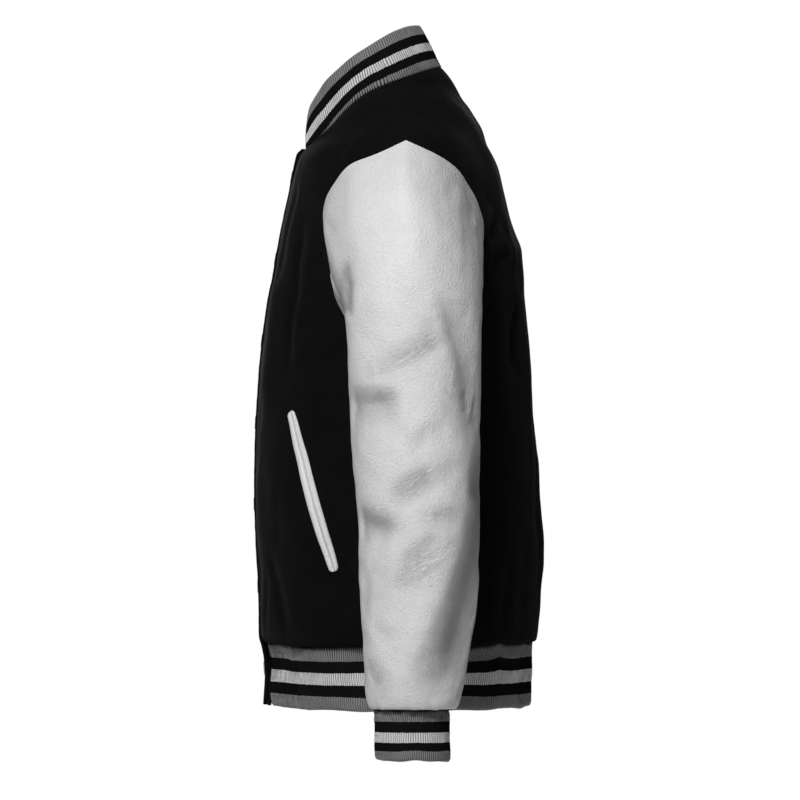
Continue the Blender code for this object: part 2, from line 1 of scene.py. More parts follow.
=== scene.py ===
# %% [markdown]
# # A varsity jacket with nobody in it
#
# The jacket has a black wool body, pale leather sleeves, striped rib knit at its neck, hem and
# cuffs, and snaps down the front. It stands filled out, as if a wearer held it up. Each piece a
# maker cuts is a thin shell of its own here, grown on the form of the solid that stands for it.
#
# The frame comes first: every size below is in the frame's metres, with +Z up, the front
# towards -Y and the wearer's left at +X.

# %% The frame and its box
import json
import math

import bmesh
import bpy
import numpy as np
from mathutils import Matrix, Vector
from mathutils.kdtree import KDTree

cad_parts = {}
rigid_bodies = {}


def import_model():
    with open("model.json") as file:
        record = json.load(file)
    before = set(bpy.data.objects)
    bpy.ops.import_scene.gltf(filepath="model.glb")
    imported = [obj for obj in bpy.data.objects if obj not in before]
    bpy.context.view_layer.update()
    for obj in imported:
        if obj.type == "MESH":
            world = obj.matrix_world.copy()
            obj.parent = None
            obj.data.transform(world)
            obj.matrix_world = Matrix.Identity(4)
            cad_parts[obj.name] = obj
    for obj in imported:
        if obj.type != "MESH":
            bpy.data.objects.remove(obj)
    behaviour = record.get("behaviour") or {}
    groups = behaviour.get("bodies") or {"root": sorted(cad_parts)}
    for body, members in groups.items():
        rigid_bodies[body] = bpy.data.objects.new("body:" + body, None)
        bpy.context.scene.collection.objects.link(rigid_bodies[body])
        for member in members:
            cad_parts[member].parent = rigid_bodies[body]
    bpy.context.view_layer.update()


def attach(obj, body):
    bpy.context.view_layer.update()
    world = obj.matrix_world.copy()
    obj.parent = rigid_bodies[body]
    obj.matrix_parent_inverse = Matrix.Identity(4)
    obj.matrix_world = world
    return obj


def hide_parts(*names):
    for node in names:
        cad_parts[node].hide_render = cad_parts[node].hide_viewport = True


for item in list(bpy.data.objects):
    bpy.data.objects.remove(item, do_unlink=True)
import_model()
MM = 0.001
SIDES = (("left", 1), ("right", -1))

# %% [markdown]
# ## The garment's form
#
# A tailor thinks in sections: how wide and deep the body is at the chest, the waist, the hem.
# The body could be sculpted by hand or draped by simulation, but sections give the exact
# outline, so the form is a set of tables. A smooth curve runs through each table's rows
# without overshooting any of them, so no bulge appears that nobody asked for.

# %% A smooth table of sections


def eased(t, start, leave, end, arrive):
    """A smooth curve from start to end, where leave and arrive are its directions there."""
    return (
        (2 * t**3 - 3 * t**2 + 1) * start
        + (t**3 - 2 * t**2 + t) * leave
        + (3 * t**2 - 2 * t**3) * end
        + (t**3 - t**2) * arrive
    )


class Table:
    """A smooth curve through the rows of a table. It never overshoots a row."""

    def __init__(self, columns, rows, lengths=()):
        values = np.array(sorted(rows), float)
        for name in lengths:
            values[:, columns.index(name)] *= MM
        self.columns = columns[1:]
        self.at = values[:, 0]
        self.rows = values[:, 1:]
        rise = np.diff(self.rows, axis=0) / np.diff(self.at)[:, None]
        before, after = rise[:-1], rise[1:]
        same_way = before * after > 0
        total = np.where(same_way, before + after, 1.0)
        middle = np.where(same_way, 2 * before * after / total, 0.0)
        self.slope = np.concatenate((rise[:1], middle, rise[-1:]))

    def read(self, at):
        """A dict of each column's values at these places."""
        at = np.clip(np.asarray(at, float), self.at[0], self.at[-1])
        i = np.clip(np.searchsorted(self.at, at) - 1, 0, len(self.at) - 2)
        span = (self.at[i + 1] - self.at[i])[..., None]
        t = (at - self.at[i])[..., None] / span
        low, high = self.rows[i], self.rows[i + 1]
        value = eased(t, low, span * self.slope[i], high, span * self.slope[i + 1])
        return {name: value[..., k] for k, name in enumerate(self.columns)}


# %% The body's sections, from the hem rib up to the neck, in mm
BODY_COLUMNS = ("z", "half_width", "side_y", "front_y", "back_y", "square")
body_form = Table(
    BODY_COLUMNS,
    (
        (-679.0, 187.5, 1, -139.0, 141.0, 2.5),
        (-675.5, 189.5, 1, -141.0, 143.2, 2.5),
        (-668.0, 190.5, 1, -141.5, 144.0, 2.5),
        (-640.0, 192.0, 1, -141.0, 144.8, 2.5),
        (-613.0, 195.0, 1, -145.0, 145.3, 2.5),
        (-610.5, 196.5, 1, -146.5, 146.8, 2.5),
        (-607.5, 201.0, 1, -150.5, 150.0, 2.45),
        (-600.0, 204.5, 1, -152.6, 151.8, 2.4),
        (-578.0, 207.0, 1, -153.6, 153.3, 2.4),
        (-541.0, 208.5, 1, -154.4, 155.8, 2.35),
        (-516.0, 209.0, 1, -156.3, 157.3, 2.35),
        (-438.0, 209.0, 2, -158.8, 153.8, 2.35),
        (-387.0, 208.0, 3, -158.0, 150.3, 2.3),
        (-315.0, 207.0, 5, -154.0, 144.0, 2.3),
        (-273.0, 207.0, 6, -149.8, 140.8, 2.3),
        (-233.0, 210.0, 8, -144.1, 136.4, 2.3),
        (-209.0, 214.0, 9, -138.6, 134.4, 2.3),
        (-180.0, 220.0, 10, -134.0, 132.6, 2.3),
        (-162.0, 224.5, 10, -131.0, 126.5, 2.3),
        (-136.0, 231.0, 10, -125.4, 118.7, 2.25),
        (-110.0, 237.0, 9, -119.9, 112.5, 2.2),
        (-90.0, 240.0, 8, -114.8, 107.8, 2.15),
        (-79.0, 240.0, 7, -111.5, 103.9, 2.1),
        (-67.0, 237.0, 6.5, -103.6, 98.7, 2.05),
        (-61.7, 233.5, 6, -98.4, 96.3, 2.0),
        (-45.0, 196.0, 3, -80.0, 89.0, 2.0),
        (-32.0, 165.0, -1, -70.8, 81.8, 2.0),
        (-20.0, 137.0, -4, -62.5, 74.8, 2.0),
        (-12.0, 119.0, -7, -56.3, 69.6, 2.0),
        (-4.0, 100.0, -9.5, -47.2, 64.3, 2.0),
        (3.9, 85.0, -11, -38.0, 59.3, 2.0),
        (10.5, 77.4, -12, -34.0, 55.2, 2.0),
        (18.7, 62.5, -14, -32.0, 49.0, 2.0),
        (23.1, 53.0, -15, -31.0, 44.0, 2.0),
    ),
    BODY_COLUMNS[:-1],
)
print("body sections:", len(body_form.at))

# %% [markdown]
# A place on the body is named by its bearing (-90 degrees at the centre front, 0 at the side,
# 90 at the centre back) and its height. Seams and folds are drawn in side view, so one helper
# finds the bearing of a side-view place.

# %% Places on the body


def body_point(bearing, z):
    """Points of the left half's outer surface."""
    bearing, z = np.broadcast_arrays(np.asarray(bearing, float), np.asarray(z, float))
    section = body_form.read(z)
    angle = np.radians(bearing)
    power = 2 / section["square"]
    across = section["half_width"] * np.abs(np.cos(angle)) ** power
    edge_y = np.where(bearing > 0, section["back_y"], section["front_y"])
    along = (edge_y - section["side_y"]) * np.abs(np.sin(angle)) ** power
    return np.stack((np.copysign(across, np.cos(angle)), section["side_y"] + along, z), -1)


def unit(vectors):
    """The same directions, each 1 long."""
    return vectors / np.maximum(np.linalg.norm(vectors, axis=-1, keepdims=True), 1e-12)


def body_outwards(bearing, z):
    """The outward directions of the left half's surface."""
    turn, rise = 1.5, 2 * MM
    around = body_point(bearing + turn, z) - body_point(bearing - turn, z)
    upwards = body_point(bearing, z + rise) - body_point(bearing, z - rise)
    return unit(np.cross(around, upwards))


def body_bearing(y, z):
    """The bearing at which the left half's surface has this y at this height."""
    section = body_form.read(z)
    behind = y > section["side_y"]
    edge_y = np.where(behind, section["back_y"], section["front_y"])
    share = np.clip((y - section["side_y"]) / (edge_y - section["side_y"]), 0.0, 1.0)
    angle = np.degrees(np.arcsin(share ** (section["square"] / 2)))
    return np.where(behind, angle, -angle)


# %% Seam lines: neck, armhole, front edge
NECK_POINT_SHARE = 0.43
neckline = Table(
    ("share", "bearing", "z"),
    (
        (0.00, 90.0, 23.1),
        (0.10, 66.0, 22.0),
        (0.19, 43.9, 18.7),
        (0.34, 17.0, 10.5),
        (0.43, 0.0, 3.9),
        (0.51, -30.5, -3.9),
        (0.58, -46.4, -12.1),
        (0.64, -56.8, -20.9),
        (0.71, -66.0, -31.9),
        (0.80, -73.8, -45.6),
        (0.89, -80.2, -57.0),
        (1.00, -85.4, -67.2),
    ),
    ("z",),
)
# Turn 0 is the shoulder point, 0.25 the front, 0.5 the underarm and 0.75 the back.
armhole = Table(
    ("turn", "y", "z"),
    (
        (0.00, 6.5, -61.7),
        (0.06, -28.1, -77.7),
        (0.11, -53.5, -88.1),
        (0.15, -69.0, -104.0),
        (0.19, -81.0, -124.5),
        (0.24, -84.3, -144.0),
        (0.30, -79.1, -180.8),
        (0.37, -70.8, -226.3),
        (0.43, -50.0, -264.0),
        (0.50, 5.0, -286.0),
        (0.57, 52.0, -264.0),
        (0.63, 79.0, -221.0),
        (0.69, 89.6, -178.0),
        (0.74, 91.7, -157.0),
        (0.80, 87.0, -134.0),
        (0.86, 73.6, -106.4),
        (0.91, 56.5, -87.5),
        (0.95, 36.3, -75.5),
        (1.00, 6.5, -61.7),
    ),
    ("y", "z"),
)
BAND_HALF_WIDTH = 17.5 * MM
BAND_SHIFT = 0.5 * MM
SEAM_GAP = 0.3 * MM
UNDERARM_TURN = 0.5
LEVEL_TURN = {-1: 0.17, 1: 0.84}


def front_edge_bearing(z, under=0.0):
    """The bearing of a front panel's long edge, beside the front band or under it."""
    section = body_form.read(z)
    edge_x = BAND_HALF_WIDTH + BAND_SHIFT + 1.5 * SEAM_GAP - under
    share = edge_x / section["half_width"]
    return -np.degrees(np.arccos(share ** (section["square"] / 2)))


def seam_bearing(z, way):
    """The bearing of a panel's edge at the side or shoulder seam; way is -1 on a front."""
    return body_bearing(body_form.read(z)["side_y"] + way * SEAM_GAP / 2, z)


def armhole_place(turn):
    """Bearing and height of a place on the armhole seam."""
    place = armhole.read(turn)
    return body_bearing(place["y"], place["z"]), place["z"]


top, underarm = armhole.read(0.0)["z"], armhole.read(UNDERARM_TURN)["z"]
print("armhole depth:", round(float(top - underarm), 3), "m")

# %% [markdown]
# ## Folds drawn one by one
#
# Cloth simulation gives lively folds but never the ones wanted, and it swells the outline. Here
# each main crease is a soft trough pressed into the form, drawn as a line on one view of the
# garment with its own width and depth. A trough can be sharper on one side than on the other,
# as a real crease is, and it fades towards both ends. A negative depth raises a ridge.

# %% A fold, and pressing folds into a surface
ACROSS = {"side": 1, "front": 0, "back": 0}
TOWARDS = {
    "side": np.array((1.0, 0.0, 0.0)),
    "front": np.array((0.0, -1.0, 0.0)),
    "back": np.array((0.0, 1.0, 0.0)),
}
FACING_ENOUGH = 0.12
FOLD_STEP = 9 * MM


def smooth(value):
    """0 to 1 with soft ends."""
    value = np.clip(value, 0.0, 1.0)
    return value * value * (3 - 2 * value)


def facing(outwards, view):
    """How squarely a surface faces a view, 0 where it faces away."""
    return np.clip(outwards @ TOWARDS[view], 0.0, 1.0)


def distances(line):
    """How far along a line each of its points lies."""
    steps = np.linalg.norm(np.diff(line, axis=0), axis=1)
    return np.concatenate(([0.0], np.cumsum(steps)))


def places_along(at, along, line):
    """Places on a line, at these distances along it."""
    return np.stack([np.interp(at, along, column) for column in line.T], -1)


def carried(line, view, points, outwards):
    """A line drawn on a view, in mm, carried to the nearest places of the surface behind it."""
    line = np.array(line, float) * MM
    along = distances(line)
    at = np.linspace(0.0, along[-1], max(2, int(along[-1] / FOLD_STEP) + 2))
    flat = places_along(at, along, line)
    places = points[facing(outwards, view) > FACING_ENOUGH]
    away = (places[None, :, ACROSS[view]] - flat[:, None, 0]) ** 2
    away = away + (places[None, :, 2] - flat[:, None, 1]) ** 2
    return places[np.argmin(away, axis=1)]


def trough(points, outwards, line, widths, depth, ends):
    """How deep one fold is at each point. widths are to the left and right of its line."""
    widths = np.array(widths, float) * MM
    low, high = line.min(0) - 3 * widths.max(), line.max(0) + 3 * widths.max()
    near = np.all((points > low) & (points < high), axis=-1)
    here, normal = points[near], outwards[near]
    best = np.full(len(here), np.inf)
    side, share = np.zeros(len(here)), np.zeros(len(here))
    lengths = np.linalg.norm(np.diff(line, axis=0), axis=1)
    total, passed = lengths.sum(), 0.0
    for start, end, length in zip(line[:-1], line[1:], lengths, strict=True):
        if length < 1e-7:
            continue
        run = (end - start) / length
        along = np.clip((here - start) @ run, 0.0, length)
        gap = here - start - along[:, None] * run
        away = np.linalg.norm(gap, axis=1)
        closer = away < best
        best = np.where(closer, away, best)
        side = np.where(closer, np.sum(np.cross(run, gap) * normal, axis=1), side)
        share = np.where(closer, (passed + along) / total, share)
        passed += length
    width = np.where(side > 0, widths[0], widths[1])
    fade = smooth((share + 0.02) / ends[0]) * smooth((1.02 - share) / ends[1])
    deep = np.zeros(points.shape[:-1])
    deep[near] = depth * MM * fade * np.exp(-((best / width) ** 2))
    return deep


def waves(points, size, seed, count=9):
    """A smooth random swell, about -1 to 1, whose waves are about this size."""
    random = np.random.default_rng(seed)
    directions = unit(random.normal(size=(count, 3)))
    numbers = math.tau / (size * random.uniform(0.7, 1.5, count))
    phases = random.uniform(0, math.tau, count)
    swell = sum(
        np.sin(points @ (direction * number) + phase)
        for direction, number, phase in zip(directions, numbers, phases, strict=True)
    )
    return swell / math.sqrt(count)


# %% [markdown]
# The body's folds. Each row is a view, a line on it, the trough's width to the left and right
# of the line, and its depth, all in mm. The wearer's left side has the folds that the arm and
# the filled chest make there; the other side has folds like them, shifted and uneven, because
# two sides of a garment never crease alike.

# %% The body's folds
SIDE_FOLDS = (
    (((-105, -138), (-112, -191), (-116, -234), (-122, -268), (-123, -332)), (9, 8), 3.2),
    (((-95, -150), (-101, -205), (-107, -250)), (7, 9), -1.2),
    (((-88, -184), (-75, -208)), (6, 7), 4.2),
    (((-99, -230), (-72, -217)), (6, 8), 3.2),
    (((-112, -262), (-84, -258)), (7, 7), 1.6),
    (((-146, -503), (-127, -584), (-122, -606)), (13, 8), 3.4),
    (((-132, -420), (-136, -520)), (16, 12), 1.6),
    (((-60, -545), (-78, -604)), (11, 8), 2.0),
    (((108, -143), (98, -178)), (5, 7), 3.0),
    (((121, -177), (94, -211)), (6, 7), 2.8),
    (((116, -214), (88, -246)), (7, 9), 2.0),
    (((132, -192), (122, -208)), (6, 6), -1.8),
    (((130, -230), (126, -270), (122, -312)), (8, 8), 3.2),
    (((121, -505), (116, -560), (109, -607)), (9, 8), 3.4),
    (((104, -520), (96, -600)), (8, 10), -1.4),
    (((-26, -20), (-48, -52), (-74, -92)), (9, 10), 2.0),
    (((14, -18), (38, -46), (60, -78)), (9, 9), 1.6),
)
OTHER_SIDE = {"across": 3.0, "down": -9.0, "depth": 0.86}
BACK_FOLDS = (
    (((-150, -118), (-118, -160), (-92, -215)), (12, 10), 2.8),
    (((152, -112), (124, -150), (88, -190)), (11, 12), 2.6),
    (((-118, -205), (-126, -300), (-120, -380)), (12, 14), 2.4),
    (((108, -215), (116, -330)), (13, 12), 2.2),
    (((-64, 2), (0, -12), (62, 4)), (10, 12), 1.8),
    (((-40, -60), (10, -66), (52, -56)), (13, 15), 1.5),
    (((-20, -250), (-34, -420), (-22, -520)), (16, 13), 1.7),
    (((46, -300), (60, -470), (52, -585)), (13, 16), 2.0),
    (((-86, -480), (-78, -603)), (11, 12), 2.6),
    (((6, -525), (12, -604)), (10, 9), 1.9),
    (((130, -470), (122, -603)), (12, 10), 2.4),
    (((-150, -440), (-142, -560)), (12, 12), 1.8),
)
FRONT_FOLDS = (
    (((96, -96), (84, -150), (70, -230)), (11, 13), 2.2),
    (((-98, -102), (-88, -170), (-66, -240)), (12, 11), 2.4),
    (((44, -140), (38, -260)), (10, 12), 1.4),
    (((-46, -160), (-36, -300)), (12, 10), 1.5),
    (((60, -330), (48, -430)), (13, 12), 1.4),
    (((-70, -360), (-52, -470)), (12, 13), 1.5),
    (((34, -500), (44, -603)), (9, 11), 2.4),
    (((-38, -490), (-46, -602)), (11, 9), 2.6),
    (((88, -520), (80, -604)), (10, 9), 2.0),
    (((-92, -515), (-98, -604)), (9, 11), 1.9),
)
MIRROR = np.array((-1.0, 1.0, 1.0))
FOLD_ENDS = (0.28, 0.28)


def mirror_for(way):
    """What turns a point of the left half into one of this half."""
    return MIRROR if way < 0 else np.ones(3)


def shifted(line, way):
    """A fold's line on the other side of the garment."""
    if way > 0:
        return line
    return [(a + OTHER_SIDE["across"], b + OTHER_SIDE["down"]) for a, b in line]


sample_bearing, sample_z = np.meshgrid(np.linspace(-88, 90, 240), np.linspace(-0.68, 0.02, 260))
form_points = body_point(sample_bearing, sample_z).reshape(-1, 3)
form_outwards = body_outwards(sample_bearing, sample_z).reshape(-1, 3)
whole_points = np.concatenate((form_points, form_points * MIRROR))
whole_outwards = np.concatenate((form_outwards, form_outwards * MIRROR))
body_folds = []
for way in (1, -1):
    for line, widths, depth in SIDE_FOLDS:
        places = carried(shifted(line, way), "side", form_points, form_outwards)
        scale = 1.0 if way > 0 else OTHER_SIDE["depth"]
        places, widths = (places, widths) if way > 0 else (places * MIRROR, widths[::-1])
        body_folds.append((places, widths, depth * scale))
for view, folds in (("front", FRONT_FOLDS), ("back", BACK_FOLDS)):
    for line, widths, depth in folds:
        body_folds.append((carried(line, view, whole_points, whole_outwards), widths, depth))
print("folds of the body:", len(body_folds))

# %% [markdown]
# The cloth of the body also swells a little between its main folds. The swell is made of a few
# long waves, the same at a seam on both of its panels. It dies away towards the neck and the
# front edges, where other pieces are sewn on, and at the hem the cloth blouses over the rib.

# %% The body's surface, with its folds
SWELL = ((95 * MM, 1.1 * MM, 3), (34 * MM, 0.32 * MM, 4))
QUIET = 16 * MM
hem_edge = Table(
    ("y", "rise"),
    (
        (-156, 1.0),
        (-124, 1.0),
        (-116, -1.6),
        (-40, -1.2),
        (10, -1.9),
        (62, -1.4),
        (96, -0.2),
        (104, 1.6),
        (109, 3.4),
        (113, 2.0),
        (121, 1.2),
        (156, 1.8),
    ),
    ("y", "rise"),
)
HEM_Z = -610.5 * MM
HEM_BLOUSE = 26 * MM


def hem_rise(y, z):
    """How far the seam between the body and the hem rib wanders up or down."""
    return hem_edge.read(y)["rise"] * np.exp(-(((z - HEM_Z) / HEM_BLOUSE) ** 2))


def body_surface(bearing, z, way, quiet=None):
    """Points and outward directions of the folded cloth; way is -1 on the wearer's right.

    quiet is each point's distance from an edge that carries another piece.
    """
    mirror = mirror_for(way)
    points = body_point(bearing, z) * mirror
    outwards = body_outwards(bearing, z) * mirror
    press = sum(trough(points, outwards, *fold, FOLD_ENDS) for fold in body_folds)
    swell = sum(height * waves(points, size, seed) for size, height, seed in SWELL)
    if quiet is not None:
        swell = swell * (1 - np.exp(-((quiet / QUIET) ** 2)))
    points = points + outwards * (swell - press)[..., None]
    points[..., 2] += hem_rise(points[..., 1], points[..., 2])
    return points, outwards


# %% [markdown]
# ## Thin walls
#
# A Solidify modifier would thicken a sheet in one step, but it pushes points along averaged
# normals and makes walls cross at sharp seams. Here every point already knows which way is out,
# so the inner face is set off along that direction. Near a sewn edge the outer face rolls down
# into the seam, and at a folded edge both faces round off, as real cloth does.

# %% A shell of cloth


def rounding(distance, run, drop):
    """How far a face has sunk this near an edge that rolls over within run."""
    t = np.clip(1 - distance / run, 0.0, 1.0)
    return drop * (1 - np.sqrt(1 - t**2))


def new_piece(data):
    """An object in the scene for a mesh, with the mesh's name."""
    piece = bpy.data.objects.new(data.name, data)
    bpy.context.scene.collection.objects.link(piece)
    return piece


class Shell:
    """Collects grids of a cloth's outer face and turns them into one closed thin wall."""

    def __init__(self, thickness):
        self.thickness = thickness
        self.outer, self.inner, self.quads, self.marks = [], [], [], {}
        self.count = 0

    def add(self, points, outwards, sunk=0.0, lifted=0.0, wrapped=False, flip=False, **marks):
        """sunk moves the outer face in, and lifted the inner face out, at each point."""
        shape = points.shape[:2]
        index = np.arange(shape[0] * shape[1]).reshape(shape) + self.count
        right = np.roll(index, -1, axis=1) if wrapped else index[:, 1:]
        left = index if wrapped else index[:, :-1]
        quads = np.stack((left[:-1], right[:-1], right[1:], left[1:]), -1).reshape(-1, 4)
        self.quads.append(quads[:, ::-1] if flip else quads)
        sunk = np.broadcast_to(sunk, shape)[..., None]
        deep = np.broadcast_to(self.thickness - np.asarray(lifted), shape)[..., None]
        self.outer.append((points - outwards * sunk).reshape(-1, 3))
        self.inner.append((points - outwards * deep).reshape(-1, 3))
        for name, values in marks.items():
            self.marks.setdefault(name, []).append(np.broadcast_to(values, shape).ravel())
        self.count += shape[0] * shape[1]

    def joined_at_centre(self):
        """For each point, the point that stands for it, once two halves meet at x = 0."""
        outer = np.concatenate(self.outer)
        stands = np.arange(self.count)
        centre = np.flatnonzero(np.abs(outer[:, 0]) < 1e-6)
        if len(centre):
            place = np.round(outer[centre, 1:] / (0.05 * MM)).astype(int)
            _, first, which = np.unique(place, axis=0, return_index=True, return_inverse=True)
            stands[centre] = centre[first[which.ravel()]]
        return stands

    def build(self, name):
        """The object: outer face, inner face, and a rim wherever the cloth ends."""
        quads = self.joined_at_centre()[np.concatenate(self.quads)]
        starts, ends = quads.ravel(), np.roll(quads, -1, axis=1).ravel()
        alone = ~np.isin(starts * self.count + ends, ends * self.count + starts)
        starts, ends = starts[alone], ends[alone]
        rim = np.stack((ends, starts, starts + self.count, ends + self.count), -1)
        faces = np.concatenate((quads, quads[:, ::-1] + self.count, rim))
        used, faces = np.unique(faces, return_inverse=True)
        points = np.concatenate((*self.outer, *self.inner))[used]
        data = bpy.data.meshes.new(name)
        data.from_pydata(points.tolist(), [], faces.reshape(-1, 4).tolist())
        data.shade_smooth()
        for mark, values in self.marks.items():
            layer = data.attributes.new(mark, "FLOAT", "POINT")
            both = np.tile(np.concatenate(values), 2)[used]
            layer.data.foreach_set("value", both.astype(np.float32))
        layer = data.attributes.new("inside", "FLOAT", "POINT")
        layer.data.foreach_set("value", (used >= self.count).astype(np.float32))
        print(f"{name}: {len(used)} points, {len(quads) * 2 + len(rim)} faces")
        return new_piece(data)


# %% Distances from seams, and close rows beside them
EDGE_ROWS = np.array((0.0, 0.5, 1.2, 2.1, 3.4)) * MM
LINE_STEP = 0.25 * MM


def shares(length, step, start=True, end=True):
    """Places along a length, as shares of it, closer together where an edge rolls over."""
    low = EDGE_ROWS / length if start else np.zeros(1)
    high = 1 - EDGE_ROWS[::-1] / length if end else np.ones(1)
    count = max(2, round((high[0] - low[-1]) * length / step) + 1)
    return np.concatenate((low, np.linspace(low[-1], high[0], count)[1:-1], high))


def away_from(points, *lines):
    """Each point's distance from the nearest of some lines."""
    places = []
    for line in lines:
        along = distances(line)
        at = np.linspace(0.0, along[-1], int(along[-1] / LINE_STEP) + 2)
        places.append(places_along(at, along, line))
    places = np.concatenate(places)
    tree = KDTree(len(places))
    for i, place in enumerate(places):
        tree.insert(place, i)
    tree.balance()
    return np.array([tree.find(p)[2] for p in points.reshape(-1, 3)]).reshape(points.shape[:-1])


def way_out(points, wrapped=False):
    """Outward directions of a grid whose columns run forward to back and rows upwards."""
    if wrapped:
        around = np.roll(points, -1, axis=1) - np.roll(points, 1, axis=1)
    else:
        around = np.gradient(points, axis=1)
    return unit(np.cross(around, np.gradient(points, axis=0)))


seam_z = np.linspace(0.0, 1.0, 400)
armhole_line = body_point(*armhole_place(seam_z))
neck_at = neckline.read(seam_z)
neck_line = body_point(neck_at["bearing"], neck_at["z"])
neck_point_z = neckline.read(NECK_POINT_SHARE)["z"]
side_line = body_point(0.0, HEM_Z + (underarm - HEM_Z) * seam_z)
shoulder_line = body_point(0.0, top + (neck_point_z - top) * seam_z)
front_top = float(neckline.read(1.0)["z"])
front_z = HEM_Z + (front_top - HEM_Z) * seam_z
front_line = body_point(front_edge_bearing(front_z), front_z)
hem_line = body_point(np.linspace(-90, 90, 400), HEM_Z)
print("front edge:", round(float(front_top - HEM_Z), 3), "m")

# %% [markdown]
# ## The woollen body
#
# The back is one piece and each front is one piece. A grid of bearings and heights runs from the
# hem to the shoulder: below the underarm its outer edge is the side seam, above it the
# armhole, and its inner edge turns from the front edge (or the centre back) into the neckline.

# %% The grid of a half panel
CLOTH_STEP = 3.3 * MM
CLOTH = 2.0 * MM
CHEST_ROWS = 66
YOKE_LENGTH = 110 * MM
PANEL_WIDTH = 250 * MM


def half_panel(inner_edge, neck_share, way):
    """Bearings and heights of one half panel; way is -1 for a front and 1 for the back."""
    levels = HEM_Z + (underarm - HEM_Z) * shares(underarm - HEM_Z, CLOTH_STEP, end=False)
    chest = np.linspace(0.0, 1.0, CHEST_ROWS + 1)[1:]
    yoke = shares(YOKE_LENGTH, CLOTH_STEP, start=False)[1:]
    centre_top = neckline.read(neck_share)["z"]
    heights = underarm + (centre_top - underarm) * chest
    necks = neckline.read(neck_share + (NECK_POINT_SHARE - neck_share) * yoke)
    inner_z = np.concatenate((levels, heights, necks["z"]))
    straight = np.concatenate((levels, heights))
    inner = np.concatenate((inner_edge(straight), necks["bearing"]))
    level, point = LEVEL_TURN[way], 0.0 if way < 0 else 1.0
    turns = UNDERARM_TURN + (level - UNDERARM_TURN) * chest
    turns = np.concatenate((turns, level + (point - level) * yoke))
    hole, hole_z = armhole_place(turns)
    outer_z = np.concatenate((levels, hole_z))
    outer = np.concatenate((seam_bearing(levels, way), hole))
    across = shares(PANEL_WIDTH, CLOTH_STEP)
    bearing = inner[:, None] + (outer - inner)[:, None] * across
    z = inner_z[:, None] + (outer_z - inner_z)[:, None] * across
    bearing[-1] = seam_bearing(z[-1], way)
    return bearing, z


PUCKER = (10 * MM, 0.34 * MM, 9 * MM)


def add_half_panel(shell, bearing, z, way, flip_columns):
    """Adds a folded half panel, with its edges rolled into their seams."""
    base = body_point(bearing, z)
    sewn = away_from(base, armhole_line, side_line, shoulder_line)
    quiet = away_from(base, neck_line, front_line, hem_line)
    points, outwards = body_surface(bearing, z, way, quiet)
    size, height, reach = PUCKER
    near = np.exp(-((np.minimum(sewn, quiet) / reach) ** 2))
    pucker = waves(points, size, 21) * height * near * smooth(sewn / (2 * MM))
    sunk = rounding(sewn, 3.4 * MM, 1.5 * MM) + rounding(quiet, 2.4 * MM, 1.1 * MM)
    sunk = np.minimum(sunk, 1.6 * MM) - pucker
    order = slice(None, None, -1) if flip_columns else slice(None)
    edge = np.exp(-np.minimum(sewn, quiet) / (4 * MM))
    shell.add(
        points[:, order],
        outwards[:, order],
        sunk=sunk[:, order],
        flip=way < 0,
        edge=edge[:, order],
    )


# %% Cutting the back and the two fronts
back_shell = Shell(CLOTH)
back_bearing, back_z = half_panel(lambda z: np.full(len(z), 90.0), 0.0, 1)
for way in (1, -1):
    add_half_panel(back_shell, back_bearing, back_z, way, True)
back_piece = back_shell.build("back_panel")
front_bearing, front_heights = half_panel(front_edge_bearing, 1.0, -1)
front_pieces = {}
for side, way in SIDES:
    front_shell = Shell(CLOTH)
    add_half_panel(front_shell, front_bearing, front_heights, way, False)
    front_pieces[side] = front_shell.build(f"front_panel_{side}")

# %% [markdown]
# ## The leather sleeves
#
# A set-in sleeve starts at the armhole, swells out over the shoulder and hangs down to the
# cuff. Each line from the armhole to the hanging tube is one smooth curve that leaves the
# shoulder sideways and arrives pointing down. Leather is stiffer than cloth, so its creases are
# fewer and deeper, with sharper upper lips where the weight of the sleeve pulls on them.

# %% The sleeve's form
SLEEVE_COLUMNS = ("z", "centre_x", "half_width", "front_y", "rear_y")
sleeve_form = Table(
    SLEEVE_COLUMNS,
    (
        (-674.9, 290.0, 35.5, -28.5, 53.5),
        (-674.3, 290.0, 40.0, -31.0, 60.0),
        (-670.0, 290.0, 43.0, -34.4, 63.4),
        (-657.0, 290.0, 46.0, -37.6, 67.1),
        (-627.0, 289.5, 49.0, -38.3, 72.5),
        (-575.0, 288.0, 54.0, -41.9, 80.9),
        (-522.0, 286.0, 58.0, -44.1, 85.2),
        (-465.0, 284.0, 61.0, -45.8, 86.0),
        (-404.0, 281.0, 63.0, -51.6, 86.0),
        (-356.0, 278.0, 64.0, -54.8, 87.0),
        (-300.0, 275.5, 63.0, -55.9, 87.6),
    ),
    SLEEVE_COLUMNS,
)
LEATHER = 1.1 * MM
CAP_FOOT_Z = -300 * MM
SLEEVE_END_Z = -674.9 * MM
CAP_SPREAD = 0.62
ARMHOLE_MIDDLE = np.array((5.0, -170.0)) * MM
SLEEVE_TURNS = 150
CAP_ROWS = 88
CAP_LENGTH = 280 * MM
TUBE_STEP = 2.7 * MM


def sleeve_section(form, turn, z):
    """Points of a horizontal section: turn 0 outermost, 0.25 front, 0.5 by the body."""
    turn, z = np.broadcast_arrays(np.asarray(turn, float), np.asarray(z, float))
    section, angle = form.read(z), turn * math.tau
    middle_y = (section["front_y"] + section["rear_y"]) / 2
    half_depth = (section["rear_y"] - section["front_y"]) / 2
    x = section["centre_x"] + section["half_width"] * np.cos(angle)
    return np.stack((x, middle_y - half_depth * np.sin(angle), z), -1)


